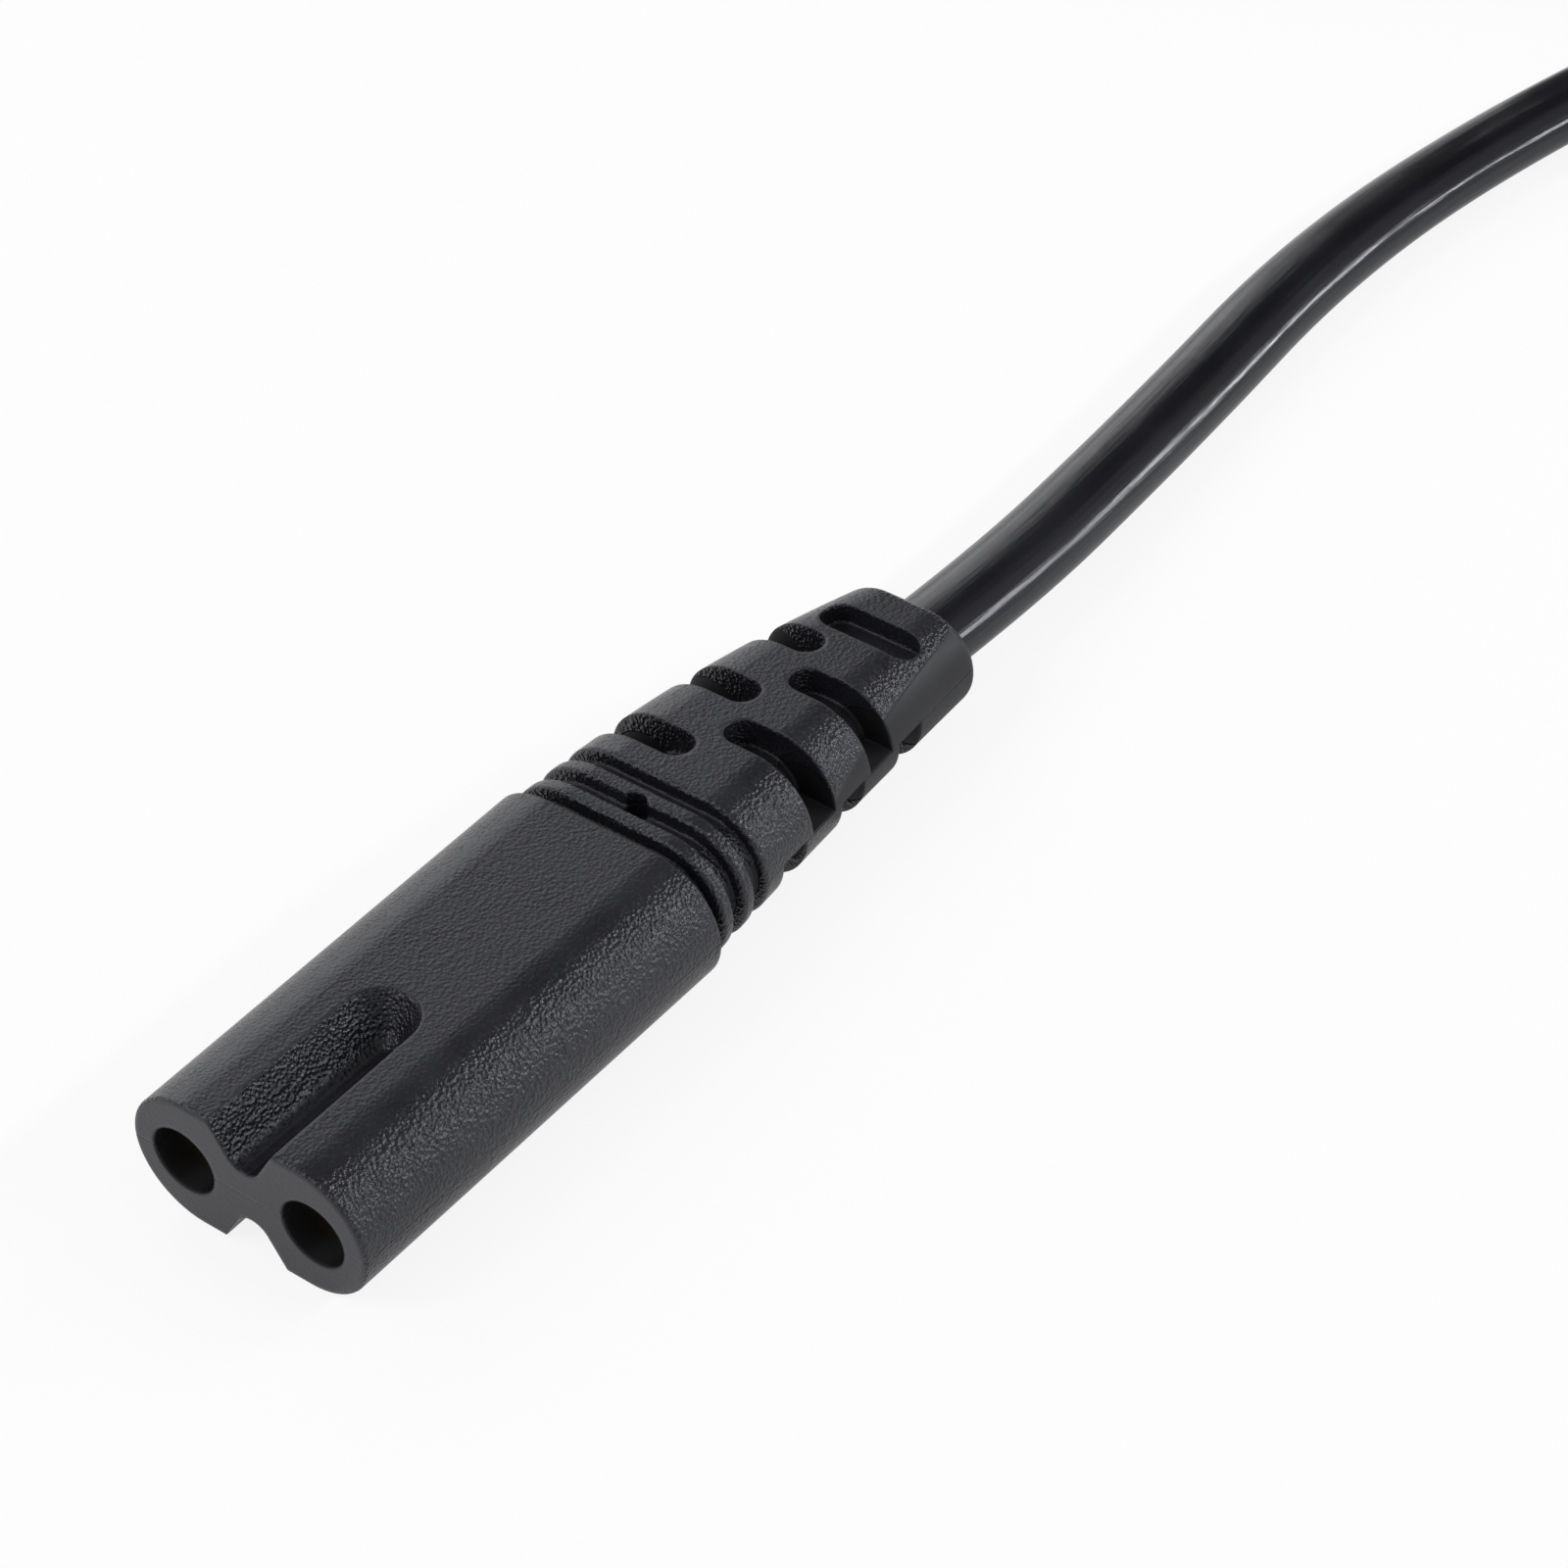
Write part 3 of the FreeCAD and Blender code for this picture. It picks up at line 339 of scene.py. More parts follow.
def pick(piece, kind, wanted):
    """Selects in code the faces or edges of a piece that fit a rule, for the next operator."""
    bpy.ops.object.mode_set(mode="EDIT")
    bpy.ops.mesh.select_all(action="DESELECT")
    bpy.ops.mesh.select_mode(type=kind)
    bpy.ops.object.mode_set(mode="OBJECT")
    mesh = piece.data
    items = mesh.polygons if kind == "FACE" else mesh.edges
    for item in items:
        item.select = wanted(mesh, item)
    bpy.ops.object.mode_set(mode="EDIT")


def edge_reach(mesh, edge, axis):
    """How far an edge reaches along X, Y or Z, as axis 0, 1 or 2."""
    first, second = (mesh.vertices[index].co for index in edge.vertices)
    return abs(first[axis] - second[axis])


def round_corners(radius):
    """Bevels the edges that are picked, and leaves edit mode."""
    bpy.ops.mesh.bevel(offset=radius, segments=CORNER_SEGMENTS, profile=0.5)
    bpy.ops.object.mode_set(mode="OBJECT")


def finish_with(piece, kind, **settings):
    """Adds a modifier, sets it and applies it."""
    select_only(piece)
    modifier = piece.modifiers.new(kind.lower(), kind)
    for key, value in settings.items():
        setattr(modifier, key, value)
    bpy.ops.object.modifier_apply(modifier=modifier.name)


def soften(piece):
    """Rounds the sharp edges a little and smooths the faces of the round corners."""
    finish_with(piece, "BEVEL", width=EDGE_ROUNDING, segments=2, limit_method="ANGLE")
    select_only(piece)
    bpy.ops.object.shade_smooth_by_angle(angle=SMOOTH_BELOW)


# %% Strap
TIE_THICKNESS = 0.8 * MM
TIE_CORNER = 1.6 * MM
tie_low, tie_high = (corner.copy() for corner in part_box("cord_tie"))
strap_top = tie_high.z - TIE_THICKNESS

tie = add_block("tie", tie_low, Vector((tie_high.x, tie_high.y, strap_top)))
pick(tie, "FACE", lambda mesh, face: abs(face.normal.x) > 0.5)
bpy.ops.mesh.delete(type="FACE")
pick(tie, "EDGE", lambda mesh, edge: edge_reach(mesh, edge, 0) > EDGE_ROUNDING)
round_corners(TIE_CORNER)
finish_with(tie, "SOLIDIFY", thickness=TIE_THICKNESS, offset=-1, use_even_offset=True)
soften(tie)
print("strap faces:", len(tie.data.polygons))

# %% [markdown]
# The loose end of the strap lies over it on top, where its hooks hold it. It is a thin strip whose
# two free corners are cut round, as they are on a real strap, so that they don't lift.

# %% Loose end of the strap
TIE_OVERLAP = 14.0 * MM
LOOSE_CORNER = 4 * MM
end_high = Vector((tie_high.x, tie_high.y - TIE_THICKNESS, tie_high.z))
end_low = Vector((tie_low.x, end_high.y - TIE_OVERLAP, strap_top))


def is_free_corner(mesh, edge):
    """True for the two upright edges at the free end of the strip."""
    far_side = end_low.y + EDGE_ROUNDING
    at_end = all(mesh.vertices[index].co.y < far_side for index in edge.vertices)
    return at_end and edge_reach(mesh, edge, 2) > EDGE_ROUNDING


tie_end = add_block("tie_end", end_low, end_high)
pick(tie_end, "EDGE", is_free_corner)
round_corners(LOOSE_CORNER)
soften(tie_end)
print("loose end faces:", len(tie_end.data.polygons))

# %% [markdown]
# ## Finishes
#
# A finish could be a painted image, but then it would blur close up. Here every finish is worked
# out from the object's own coordinates, so it is sharp at any distance. What more than one finish
# needs is a node group: the grain of a spark-eroded mould, the slow change of tone over a surface,
# and the fine lines that drawing, turning or extruding leaves. First come a few helpers, because
# every step that joins two nodes would otherwise be three lines.

# %% Helpers for shader nodes
def feed(tree, socket, value):
    """Links another socket to an input, or sets a plain number or colour on it."""
    if isinstance(value, bpy.types.NodeSocket):
        tree.links.new(value, socket)
    else:
        socket.default_value = value


def add_node(tree, kind, inputs=None, **settings):
    """A node with some of its sockets set by name or number."""
    node = tree.nodes.new(f"ShaderNode{kind}")
    for key, value in settings.items():
        setattr(node, key, value)
    for key, value in (inputs or {}).items():
        feed(tree, node.inputs[key], value)
    return node


def use_group(tree, group, **inputs):
    """A node group placed in a material, with its own values."""
    return add_node(tree, "Group", inputs, node_tree=group)


def calculate(tree, operation, first, second=0.0, third=0.0, clamp=False):
    """One step of arithmetic between sockets or numbers."""
    node = add_node(tree, "Math", {0: first, 1: second, 2: third}, operation=operation,
                    use_clamp=clamp)
    return node.outputs[0]


def without(tree, mask):
    """The rest of the surface: 1 where a mask is 0."""
    return calculate(tree, "SUBTRACT", 1.0, mask)


def between(tree, value, low, high, start=0.0, end=1.0):
    """Moves a value from the range low to high to the range start to end, smoothly."""
    node = add_node(tree, "MapRange", {0: value, 1: low, 2: high, 3: start, 4: end},
                    interpolation_type="SMOOTHSTEP")
    return node.outputs[0]


def mix_colours(tree, share, first, second):
    """Two colours mixed by a share from 0 to 1. Sockets 6 and 7 of the node take the colours."""
    return add_node(tree, "Mix", {0: share, 6: first, 7: second}, data_type="RGBA").outputs[2]


def new_group(name, inputs, outputs):
    """A node group with named sockets, its input node and its output node."""
    group = bpy.data.node_groups.new(name, "ShaderNodeTree")
    for label, kind, default in inputs:
        socket = group.interface.new_socket(label, in_out="INPUT", socket_type=f"NodeSocket{kind}")
        if default is not None:
            socket.default_value = default
    for label in outputs:
        group.interface.new_socket(label, in_out="OUTPUT", socket_type="NodeSocketFloat")
    start = group.nodes.new("NodeGroupInput")
    end = group.nodes.new("NodeGroupOutput")
    return group, start, end


# %% [markdown]
# A spark-eroded mould leaves small rounded cells, like fine leather. Rounded Voronoi cells give
# their shape, and noise of nearly the same size crumples them, so that no two are alike.

# %% Grain of a mould
CELL_ROUNDING = 0.35
CRUMPLE_FINER = 1.7

grain, start, end = new_group(
    "mould_grain",
    [("Vector", "Vector", None), ("Cell", "Float", 0.3 * MM), ("Crumple", "Float", 0.5)],
    ["Height", "Fine"])
scale = calculate(grain, "DIVIDE", 1.0, start.outputs["Cell"])
cells = add_node(grain, "TexVoronoi", {"Vector": start.outputs["Vector"], "Scale": scale,
                                       "Smoothness": CELL_ROUNDING}, feature="SMOOTH_F1")
fine_scale = calculate(grain, "MULTIPLY", scale, CRUMPLE_FINER)
crumple = add_node(grain, "TexNoise", {"Vector": start.outputs["Vector"], "Scale": fine_scale,
                                       "Detail": 2.0, "Roughness": 0.6})
shaped = calculate(grain, "MULTIPLY", crumple.outputs[0], start.outputs["Crumple"])
height = calculate(grain, "ADD", cells.outputs["Distance"], shaped)
grain.links.new(height, end.inputs["Height"])
grain.links.new(crumple.outputs[0], end.inputs["Fine"])
print("group:", grain.name)

# %% [markdown]
# No moulding has quite the same tone all over: it cools unevenly, and it is handled. Soft noise
# with its middle stretched gives patches that run into each other.

# %% Slow change of tone
CLOUD_MIDDLE = (0.3, 0.7)

tone, start, end = new_group(
    "slow_tone", [("Vector", "Vector", None), ("Size", "Float", 6 * MM)], ["Mask"])
scale = calculate(tone, "DIVIDE", 1.0, start.outputs["Size"])
cloud = add_node(tone, "TexNoise", {"Vector": start.outputs["Vector"], "Scale": scale,
                                    "Detail": 3.0, "Roughness": 0.55})
tone.links.new(between(tone, cloud.outputs[0], *CLOUD_MIDDLE), end.inputs["Mask"])
print("group:", tone.name)

# %% [markdown]
# Drawing and turning leave lines along the way the tool went. Noise that is stretched along that
# way gives them, and the stretch is smallest where the lines are longest.

# %% Fine drawn lines
lines, start, end = new_group(
    "drawn_lines",
    [("Vector", "Vector", None), ("Stretch", "Vector", (1.0, 1.0, 1.0)),
     ("Size", "Float", 0.2 * MM)],
    ["Height"])
scale = calculate(lines, "DIVIDE", 1.0, start.outputs["Size"])
stretched = add_node(lines, "VectorMath", {0: start.outputs["Vector"],
                                           1: start.outputs["Stretch"]}, operation="MULTIPLY")
streaks = add_node(lines, "TexNoise", {"Vector": stretched.outputs[0], "Scale": scale,
                                       "Detail": 3.0, "Roughness": 0.6})
lines.links.new(streaks.outputs[0], end.inputs["Height"])
print("group:", lines.name)


# %% [markdown]
# Every finish starts in the same way, and then changes three things over the surface: its colour,
# its roughness and its height. What is the same all over is set on the shader's own socket, since
# it needs no nodes. Height goes through a Bump node, because grain as real faces would be millions
# of them.

# %% Start of a finish
def new_finish(name, **plain):
    """A material with its shader, its coordinates and plain numbers set on the shader."""
    material = bpy.data.materials.new(name)
    material.use_nodes = True
    tree = material.node_tree
    shader = tree.nodes["Principled BSDF"]
    for key, value in plain.items():
        shader.inputs[key.replace("_", " ")].default_value = value
    coordinates = add_node(tree, "TexCoord")
    return material, tree, shader, coordinates


def colour_by(tree, shader, mask, first, second):
    """A base colour that changes from the first to the second with a mask."""
    feed(tree, shader.inputs["Base Color"], mix_colours(tree, mask, first, second))


def roughen_by(tree, shader, mask, least, more):
    """A roughness that starts at the least and grows with a mask."""
    feed(tree, shader.inputs["Roughness"], calculate(tree, "MULTIPLY_ADD", mask, more, least))


def raise_surface(tree, shader, height, distance, strength=1.0, below=None):
    """Bump from a height, in metres, on top of another normal if there is one."""
    bump = add_node(tree, "Bump", {"Height": height, "Distance": distance, "Strength": strength})
    if below is not None:
        tree.links.new(below, bump.inputs["Normal"])
    tree.links.new(bump.outputs[0], shader.inputs["Normal"])


# %% [markdown]
# ### Moulded PVC
#
# The housing's sides carry a strong leathery grain from the mould. Its flat top and underside are
# smoother, and the mating face is smoother still. The face's colour is also painted lighter, a
# painted reflection of the pale floor, and the entries of the contacts are painted darker, a
# painted shade in the holes. The two halves of the mould leave a fine parting line at mid height.
# Each zone could be a material of its own, but then the joins between them would be hard. So one
# material finds the zones by the direction and the place of the surface, and each zone is a mask
# that fades at its edge.

# %% Zones of a moulding
FLAT_FACING = (0.90, 0.995)
FRONT_FACING = (-0.75, -0.95)
FACE_LAYER = (0.3 * MM, 0.05 * MM)
CONTACT_PITCH = 8.6 * MM
BORE_EDGE = (2.15 * MM, 2.06 * MM)
PARTING_EDGE = (0.09 * MM, 0.02 * MM)


def moulding_zones(tree, coordinates, low, high):
    """Masks of the flat sides, the mating face, the entries of the contacts and the parting."""
    facing = add_node(tree, "SeparateXYZ", {0: coordinates.outputs["Normal"]})
    place = add_node(tree, "SeparateXYZ", {0: coordinates.outputs["Object"]})

    flat = between(tree, calculate(tree, "ABSOLUTE", facing.outputs[2]), *FLAT_FACING)
    front = between(tree, facing.outputs[0], *FRONT_FACING)
    at_nose = between(tree, place.outputs[0], *(low.x + depth for depth in FACE_LAYER))
    face = calculate(tree, "MULTIPLY", front, at_nose)

    off_middle = calculate(tree, "ABSOLUTE", place.outputs[1])
    aside = calculate(tree, "SUBTRACT", off_middle, CONTACT_PITCH / 2)
    above = calculate(tree, "SUBTRACT", place.outputs[2], (low.z + high.z) / 2)
    above_square = calculate(tree, "MULTIPLY", above, above)
    off_axis_square = calculate(tree, "MULTIPLY_ADD", aside, aside, above_square)
    entry = between(tree, off_axis_square, *(radius ** 2 for radius in BORE_EDGE))

    parting = between(tree, calculate(tree, "ABSOLUTE", above), *PARTING_EDGE)
    parting = calculate(tree, "MULTIPLY", parting, without(tree, flat))
    return flat, face, entry, parting


# %% Moulded PVC
CHARCOAL = (0.0070, 0.0072, 0.0102, 1)
CHARCOAL_WORN = (0.0108, 0.0111, 0.0150, 1)
# The mating face is painted lighter: a painted reflection of the pale floor, not a different
# plastic.
FACE_PAINTED_REFLECTION = (0.0145, 0.0142, 0.0200, 1)
# The entries of the contacts are painted darker: painted shade inside the holes.
ENTRY_PAINTED_SHADE = (0.003, 0.003, 0.0036, 1)
PARTING_TONE = (0.006, 0.006, 0.007, 1)
COOL_GLOSS = (0.90, 0.92, 1.0, 1)
FACE_REFLECTION_SHARE, PARTING_SHARE = 0.8, 0.7
TONE_PATCH = 4 * MM
GRAIN_CELL = 0.22 * MM
GRAIN_DEPTH = 0.085 * MM
GRAIN_CRUMPLE = 0.55
FLAT_SMOOTHNESS, FACE_SMOOTHNESS = 0.76, 0.93
PARTING_DEPTH = 1.2
PVC_ROUGHNESS = 0.20
PATCH_ROUGHER, FLAT_ROUGHER, ENTRY_ROUGHER = 0.06, 0.15, 0.3
PVC_EDGE = 0.30 * MM
EDGE_SAMPLES = 6


def pvc_colour_and_painted_light(tree, mask, face, entry, parting):
    """Charcoal, lighter at the face as a painted reflection, darker in the entries as painted
    shade, and darker at the parting.
    """
    colour = mix_colours(tree, mask, CHARCOAL, CHARCOAL_WORN)
    # Painted reflection: the mating face is made lighter in its colour.
    painted_face_reflection = calculate(tree, "MULTIPLY", face, FACE_REFLECTION_SHARE)
    colour = mix_colours(tree, painted_face_reflection, colour, FACE_PAINTED_REFLECTION)
    # Painted shade: the entries of the contacts are made darker in their colour.
    colour = mix_colours(tree, entry, colour, ENTRY_PAINTED_SHADE)
    at_parting = calculate(tree, "MULTIPLY", parting, PARTING_SHARE)
    return mix_colours(tree, at_parting, colour, PARTING_TONE)


def pvc_height(tree, place, flat, face, entry, parting):
    """The grain, faint where the mould is smooth, with the groove of the parting line."""
    smooth = calculate(tree, "MULTIPLY", flat, FLAT_SMOOTHNESS)
    smooth = calculate(tree, "MAXIMUM", smooth,
                       calculate(tree, "MULTIPLY", face, FACE_SMOOTHNESS))
    smooth = calculate(tree, "MAXIMUM", smooth, entry)
    pattern = use_group(tree, grain, Vector=place, Cell=GRAIN_CELL, Crumple=GRAIN_CRUMPLE)
    height = calculate(tree, "MULTIPLY", pattern.outputs["Height"], without(tree, smooth))
    groove = calculate(tree, "MULTIPLY", parting, PARTING_DEPTH)
    return calculate(tree, "SUBTRACT", height, groove)


def moulded_pvc(name, node):
    """Charcoal PVC with its grain, parting line, painted face reflection and painted entry shade.
    """
    material, tree, shader, coordinates = new_finish(name, Specular_Tint=COOL_GLOSS)
    place = coordinates.outputs["Object"]
    flat, face, entry, parting = moulding_zones(tree, coordinates, *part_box(node))
    mask = use_group(tree, tone, Vector=place, Size=TONE_PATCH).outputs["Mask"]
    feed(tree, shader.inputs["Base Color"], pvc_colour_and_painted_light(tree, mask, face, entry, parting))

    rough = calculate(tree, "MULTIPLY_ADD", mask, PATCH_ROUGHER, PVC_ROUGHNESS)
    rough = calculate(tree, "MULTIPLY_ADD", flat, FLAT_ROUGHER, rough)
    rough = calculate(tree, "MULTIPLY_ADD", entry, ENTRY_ROUGHER, rough)
    feed(tree, shader.inputs["Roughness"], rough)

    height = pvc_height(tree, place, flat, face, entry, parting)
    rounded = add_node(tree, "Bevel", {"Radius": PVC_EDGE}, samples=EDGE_SAMPLES)
    raise_surface(tree, shader, height, GRAIN_DEPTH, below=rounded.outputs[0])
    return material


connector_finish = moulded_pvc("connector_pvc", "connector_body")
plug_finish = moulded_pvc("plug_pvc", "plug_body")
print("finishes:", connector_finish.name, plug_finish.name)

# %% [markdown]
# ### Jacket of the cord
#
# The jacket is extruded, so it is glossy, nearly black, and has faint streaks that run along it.
# Object coordinates would cut across the bends. So the streaks follow the tube's own map, which
# gives the distance along the cord and the place round it.

# %% Jacket
JACKET_BLACK = (0.0060, 0.0062, 0.0082, 1)
JACKET_WORN = (0.0100, 0.0103, 0.0130, 1)
JACKET_PATCH = 12 * MM
JACKET_ROUGHNESS, JACKET_ROUGHER = 0.18, 0.07
STREAK_STRETCH = (1.0, 0.35, 1.0)
STREAK_LENGTH = 12 * MM
DIMPLE_SIZE = 2 * MM
DIMPLE_SHARE = 0.4
JACKET_RELIEF = 0.05 * MM

jacket_finish, tree, shader, coordinates = new_finish("cord_jacket", Specular_Tint=COOL_GLOSS)
place = coordinates.outputs["Object"]
mask = use_group(tree, tone, Vector=place, Size=JACKET_PATCH).outputs["Mask"]
colour_by(tree, shader, mask, JACKET_BLACK, JACKET_WORN)
roughen_by(tree, shader, mask, JACKET_ROUGHNESS, JACKET_ROUGHER)
streak = use_group(tree, lines, Vector=coordinates.outputs["UV"], Stretch=STREAK_STRETCH,
                   Size=STREAK_LENGTH)
dimples = add_node(tree, "TexNoise", {"Vector": place, "Scale": 1 / DIMPLE_SIZE, "Detail": 1.0})
height = calculate(tree, "MULTIPLY_ADD", dimples.outputs[0], DIMPLE_SHARE,
                   streak.outputs["Height"])
raise_surface(tree, shader, height, JACKET_RELIEF, strength=0.6)
print("finish:", jacket_finish.name)

# %% [markdown]
# ### Strap
#
# The strap is woven, so threads cross on it. Modelling each thread would take many faces for
# something so small. Two sets of waves that cross give the same look, and noise makes it fuzzy.
# A wave texture repeats about 3.2 times in one unit, so its scale is worked out from that.

# %% Strap
THREAD = 0.45 * MM
WAVES_IN_UNIT = 3.2
STRAP_DARK = (0.006, 0.006, 0.0065, 1)
STRAP_LIGHT = (0.022, 0.022, 0.024, 1)
FUZZ_SIZE = 0.2 * MM
FUZZ_CRUMPLE, FUZZ_SHARE = 0.8, 0.3
WEAVE_DEPTH = 0.12 * MM

strap_finish, tree, shader, coordinates = new_finish(
    "tie_strap", Roughness=0.8, Sheen_Weight=0.3)
place = coordinates.outputs["Object"]
warp, weft = (add_node(tree, "TexWave", {"Vector": place, "Scale": 1 / (THREAD * WAVES_IN_UNIT)},
                       bands_direction=way) for way in ("X", "Y"))
weave = calculate(tree, "MULTIPLY", warp.outputs[1], weft.outputs[1])
colour_by(tree, shader, weave, STRAP_DARK, STRAP_LIGHT)
fuzz = use_group(tree, grain, Vector=place, Cell=FUZZ_SIZE, Crumple=FUZZ_CRUMPLE)
height = calculate(tree, "MULTIPLY_ADD", fuzz.outputs["Fine"], FUZZ_SHARE, weave)
raise_surface(tree, shader, height, WEAVE_DEPTH, strength=0.8)
print("finish:", strap_finish.name)

# %% [markdown]
# ### Metals
#
# The pins are turned and plated, the contact sleeves are rolled from brass sheet, and the strands
# are drawn copper. All three are metal with fine lines, so one function makes them. They differ in
# colour, in polish, and in the way and the size of their lines.

# %% Metals
METAL_PATCH = 3 * MM
METAL_ROUGHER = 0.16
METAL_EDGE = 0.15 * MM
LINE_DEPTH = 0.01 * MM


def drawn_metal(name, colour, worn, roughness, stretch, size):
    """Bare or plated metal with fine lines and a slow change of tone."""
    material, tree, shader, coordinates = new_finish(name, Metallic=1.0)
    place = coordinates.outputs["Object"]
    mask = use_group(tree, tone, Vector=place, Size=METAL_PATCH).outputs["Mask"]
    colour_by(tree, shader, mask, colour, worn)
    marks = use_group(tree, lines, Vector=place, Stretch=stretch, Size=size).outputs["Height"]
    roughen_by(tree, shader, marks, roughness, METAL_ROUGHER)
    rounded = add_node(tree, "Bevel", {"Radius": METAL_EDGE}, samples=EDGE_SAMPLES)
    raise_surface(tree, shader, marks, LINE_DEPTH, strength=0.5, below=rounded.outputs[0])
    return material


brass_finish = drawn_metal(
    "contact_brass", colour=(0.78, 0.56, 0.22, 1), worn=(0.62, 0.42, 0.16, 1), roughness=0.22,
    stretch=(0.1, 1.0, 1.0), size=0.3 * MM)
pin_finish = drawn_metal(
    "pin_metal", colour=(0.72, 0.71, 0.68, 1), worn=(0.6, 0.59, 0.56, 1), roughness=0.14,
    stretch=(6.0, 0.3, 0.3), size=0.8 * MM)
copper_finish = drawn_metal(
    "copper", colour=(0.82, 0.42, 0.26, 1), worn=(0.66, 0.3, 0.18, 1), roughness=0.28,
    stretch=(0.08, 1.0, 1.0), size=0.2 * MM)
print("finishes:", brass_finish.name, pin_finish.name, copper_finish.name)

# %% [markdown]
# ### Inner plastics
#
# The carrier, the bridge, the cores' insulation and the pins' collars are plain plastic. Most of
# them are hidden, but each has a finish of its own, so that the pieces read right when they are
# taken apart. One function makes them all, from two tones, a roughness and a light grain.

# %% Plastics
PLASTIC_CRUMPLE = 0.4
PLASTIC_ROUGHER = 0.1


def plain_plastic(name, colour, worn, roughness, cell, depth):
    """Smooth moulded or extruded plastic with a light grain."""
    material, tree, shader, coordinates = new_finish(name)
    place = coordinates.outputs["Object"]
    mask = use_group(tree, tone, Vector=place, Size=TONE_PATCH).outputs["Mask"]
    colour_by(tree, shader, mask, colour, worn)
    pattern = use_group(tree, grain, Vector=place, Cell=cell, Crumple=PLASTIC_CRUMPLE)
    roughen_by(tree, shader, pattern.outputs["Fine"], roughness, PLASTIC_ROUGHER)
    raise_surface(tree, shader, pattern.outputs["Height"], depth, strength=0.6)
    return material


carrier_finish = plain_plastic(
    "carrier_plastic", colour=(0.5, 0.48, 0.43, 1), worn=(0.42, 0.4, 0.36, 1), roughness=0.42,
    cell=0.35 * MM, depth=0.02 * MM)
brown_finish = plain_plastic(
    "wire_brown", colour=(0.11, 0.04, 0.018, 1), worn=(0.085, 0.03, 0.014, 1), roughness=0.3,
    cell=0.5 * MM, depth=0.01 * MM)
blue_finish = plain_plastic(
    "wire_blue", colour=(0.02, 0.11, 0.33, 1), worn=(0.016, 0.09, 0.27, 1), roughness=0.3,
    cell=0.5 * MM, depth=0.01 * MM)
collar_finish = plain_plastic(
    "collar_plastic", colour=(0.014, 0.014, 0.0155, 1), worn=(0.02, 0.02, 0.022, 1),
    roughness=0.36, cell=0.25 * MM, depth=0.02 * MM)
print("finishes:", carrier_finish.name, brown_finish.name, blue_finish.name, collar_finish.name)

# %% [markdown]
# ### Finishes on the pieces
#
# Each piece takes the finish of what it is made of. They could be given out one at a time, but a
# table from finish to pieces shows at once which pieces share a material.

# %% Finishes on the pieces
NODES_OF_FINISH = (
    (connector_finish, ["connector_body"]),
    (plug_finish, ["plug_body"]),
    (carrier_finish, ["contact_carrier", "plug_bridge"]),
    (brass_finish, ["contact_sleeve_left", "contact_sleeve_right"]),
    (brown_finish, ["wire_left", "plug_wire_left"]),
    (blue_finish, ["wire_right", "plug_wire_right"]),
    (copper_finish, ["conductor_left", "conductor_right", "plug_conductor_left",
                     "plug_conductor_right"]),
    (pin_finish, ["plug_pin_left", "plug_pin_right"]),
    (collar_finish, ["pin_collar_left", "pin_collar_right"]),
)


def dress(piece, finish):
    """Gives a piece one finish in place of what it had."""
    piece.data.materials.clear()
    piece.data.materials.append(finish)


for finish, names in NODES_OF_FINISH:
    for name in names:
        dress(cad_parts[name], finish)
dress(cord, jacket_finish)
dress(tie, strap_finish)
dress(tie_end, strap_finish)
print("nodes with a finish:", sum(len(names) for _, names in NODES_OF_FINISH))

# %% [markdown]
# ## What each piece stands for
#
# The cord replaces the plain solids that held its place, and the strap replaces the plain tie.
# The plain ones could stay hidden inside, but then they would show wherever a soft piece is
# thinner. The strap and the plug go with the cord, because they are on it.

# %% Pieces and bodies
for piece, slot in ((cord, "cord_jacket"), (tie, "tie_strap"), (tie_end, "tie_strap")):
    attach(piece, "root")
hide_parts("cord_run", "cord_hank", "cord_tail")
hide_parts("cord_tie")

# %% [markdown]
# ## Studio
#
# The object lies on a white floor in soft light. More light could make the floor white, but it
# would bleach the object too. So the floor glows a little where the camera sees it, less where
# gloss mirrors it, and lights nothing else, and the rest of it is pale paper that keeps the
# object's shadow.

# %% Floor
FLOOR_SIZE = 6.0
FLOOR_GLOW = 0.86
MIRRORED_GLOW = 0.35
PAPER = (0.9, 0.9, 0.9, 1)
WHITE = (1, 1, 1, 1)

bpy.ops.object.select_all(action="DESELECT")
bpy.ops.mesh.primitive_plane_add(size=FLOOR_SIZE, location=(0, 0, 0))
floor = bpy.context.object
floor.name = "floor"
floor_finish = bpy.data.materials.new("floor")
floor_finish.use_nodes = True
tree = floor_finish.node_tree
tree.nodes.clear()
seen = add_node(tree, "LightPath")
mirrored = calculate(tree, "ADD", seen.outputs["Is Glossy Ray"],
                     seen.outputs["Is Transmission Ray"], clamp=True)
mirrored = calculate(tree, "MULTIPLY", mirrored, MIRRORED_GLOW)
share = calculate(tree, "MULTIPLY", seen.outputs["Is Camera Ray"], FLOOR_GLOW)
share = calculate(tree, "MAXIMUM", share, mirrored)
paper = add_node(tree, "BsdfDiffuse", {"Color": PAPER})
glow = add_node(tree, "Emission", {"Color": WHITE, "Strength": 1.0})
blend = add_node(tree, "MixShader", {0: share, 1: paper.outputs[0], 2: glow.outputs[0]})
add_node(tree, "OutputMaterial", {0: blend.outputs[0]})
dress(floor, floor_finish)
print("floor in m:", FLOOR_SIZE)

# %% [markdown]
# The sky is a plain white one that is dimmer high up. A flat black top mirrors the sky behind it,
# so a dark patch stands there, as a photographer would hang a black flag. It keeps the flat tops
# dark. The camera itself sees pure white in its place.

# %% Sky
SKY_LOW = 0.78
SKY_HIGH = 0.42
SKY_CLIMB = (0.05, 0.6)
FLAG_TONE = 0.08
FLAG_AT = (0.579, 0.481, 0.659)
FLAG_EDGE = (0.80, 0.97)

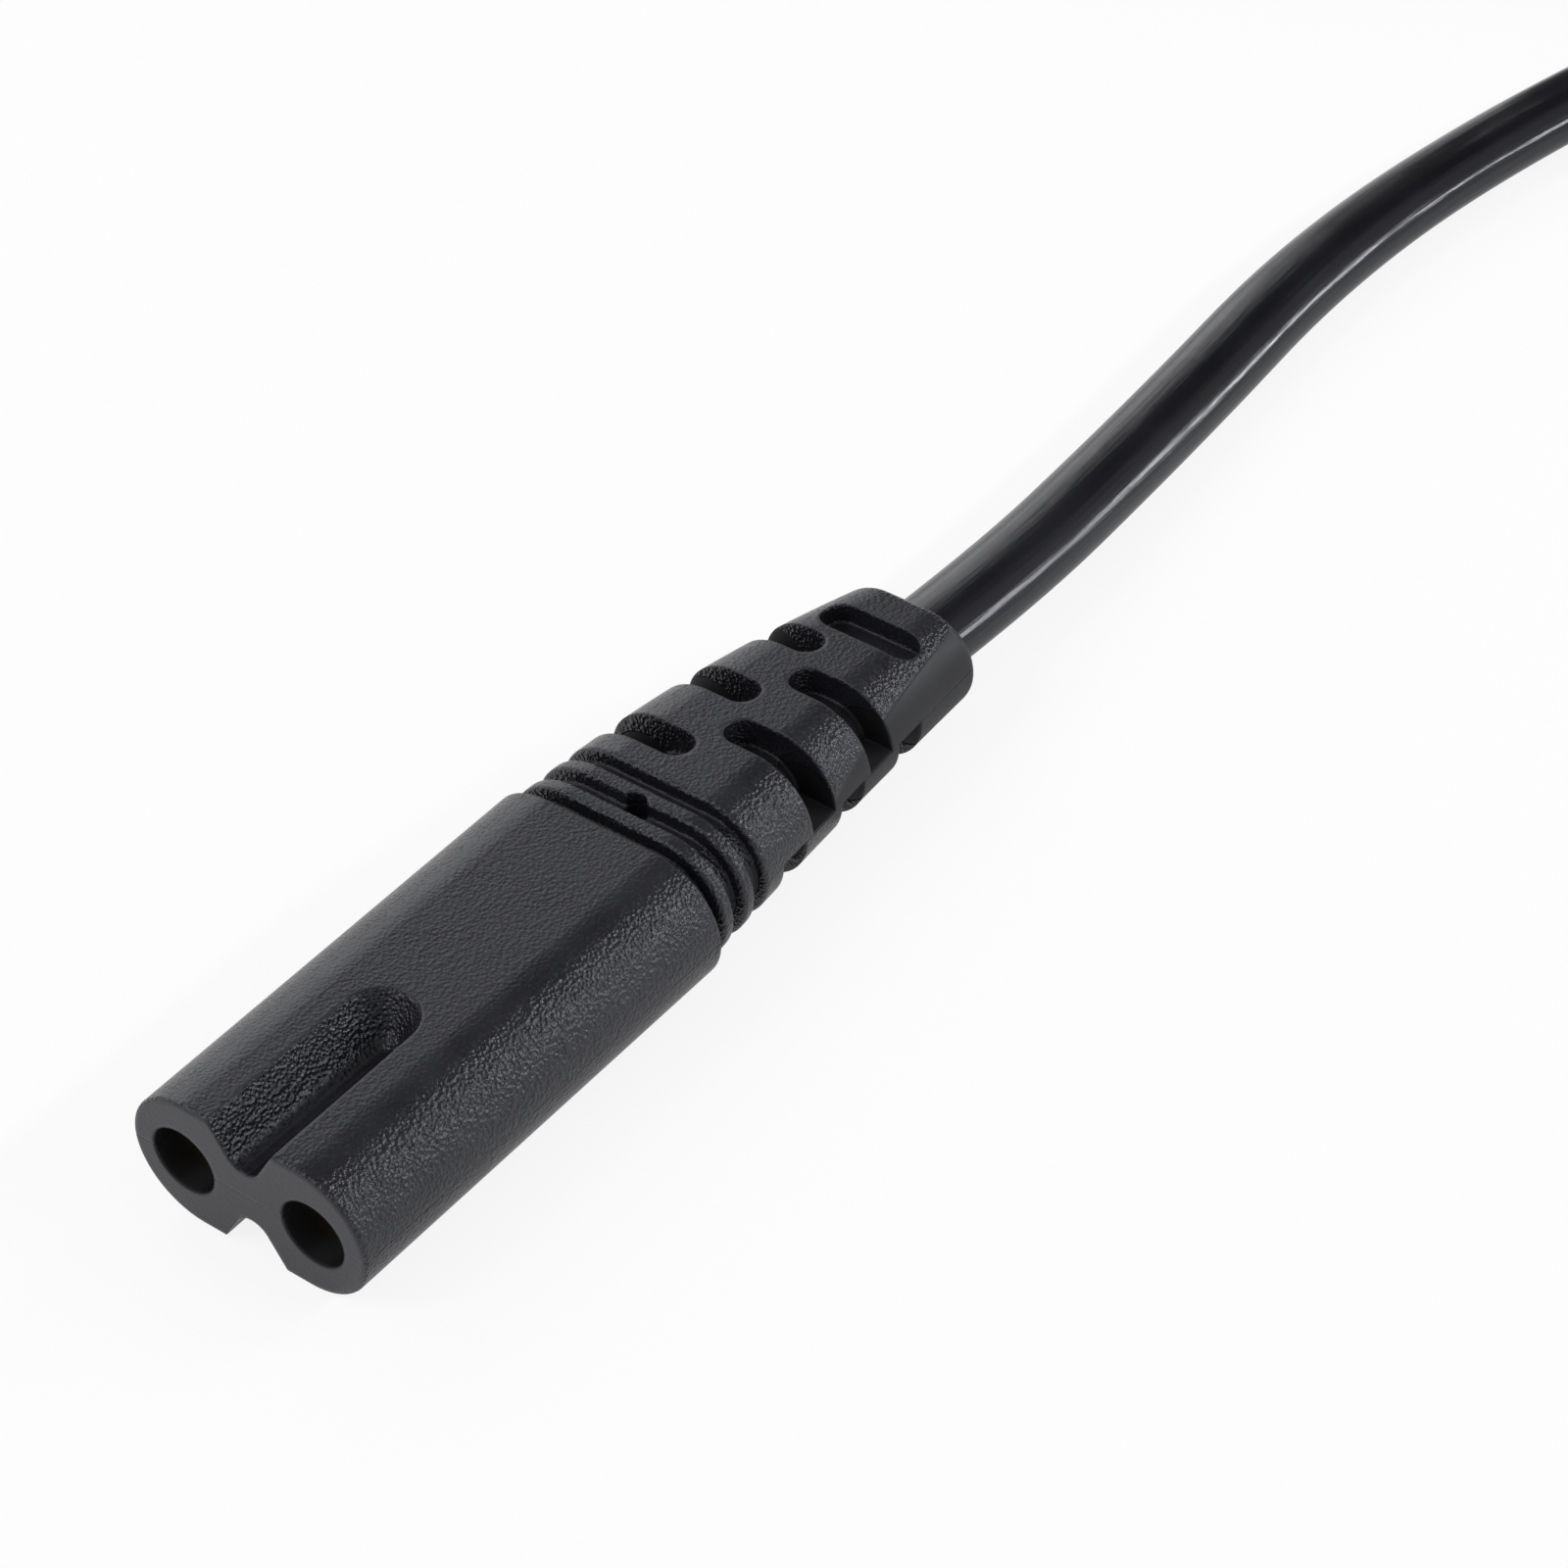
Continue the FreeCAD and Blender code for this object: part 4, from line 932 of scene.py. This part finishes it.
world = bpy.data.worlds.new("sky")
bpy.context.scene.world = world
world.use_nodes = True
tree = world.node_tree
tree.nodes.clear()
direction = add_node(tree, "TexCoord").outputs["Generated"]
height = add_node(tree, "SeparateXYZ", {0: direction}).outputs[2]
level = between(tree, height, *SKY_CLIMB, SKY_LOW, SKY_HIGH)
toward = add_node(tree, "VectorMath", {0: direction, 1: FLAG_AT}, operation="DOT_PRODUCT")
flag = between(tree, toward.outputs["Value"], *FLAG_EDGE)
dimming = calculate(tree, "MULTIPLY_ADD", flag, FLAG_TONE - 1, 1.0)
level = calculate(tree, "MULTIPLY", level, dimming)
seen = add_node(tree, "LightPath")
level = calculate(tree, "MAXIMUM", level, seen.outputs["Is Camera Ray"])
sky = add_node(tree, "Background", {"Strength": level, "Color": WHITE})
add_node(tree, "OutputWorld", {0: sky.outputs[0]})
print("sky from", SKY_LOW, "to", SKY_HIGH)

# %% [markdown]
# A small round lamp would make dots of light. A long thin one at the right draws the bright line
# along the cord and wakes the grain on the shoulder of the housing. A wide soft lamp fills from
# the left, and one overhead at the front lights the mating face.

# %% Lamps
LAMP_AIM = Vector((30, 0, 5)) * MM
LENGTHWAYS = Vector((1, 0, 0))


def add_lamp(name, toward, distance, size, power):
    """A rectangular lamp that faces the housing; its size is lengthways and across."""
    data = bpy.data.lights.new(name, "AREA")
    data.shape = "RECTANGLE"
    data.size, data.size_y = size
    data.energy = power
    lamp = bpy.data.objects.new(name, data)
    bpy.context.collection.objects.link(lamp)
    back = Vector(toward).normalized()
    along = (LENGTHWAYS - back * back.x).normalized()
    across = back.cross(along)
    lamp.location = back * distance + LAMP_AIM
    lamp.rotation_euler = Matrix((along, across, back)).transposed().to_euler()
    return lamp


lamps = [
    add_lamp("strip_right", toward=(0.57, -0.65, 0.50), distance=0.50, size=(0.60, 0.032),
             power=1.35),
    add_lamp("fill_left", toward=(0.32, 0.80, 0.50), distance=0.60, size=(0.60, 0.35), power=1.3),
    add_lamp("overhead", toward=(-0.62, 0.36, 0.70), distance=0.9, size=(0.4, 0.4), power=2.6),
]
print("lamps:", [lamp.name for lamp in lamps])

# %% [markdown]
# ## Render settings

# %% Render settings
bpy.context.scene.view_settings.view_transform = "Standard"
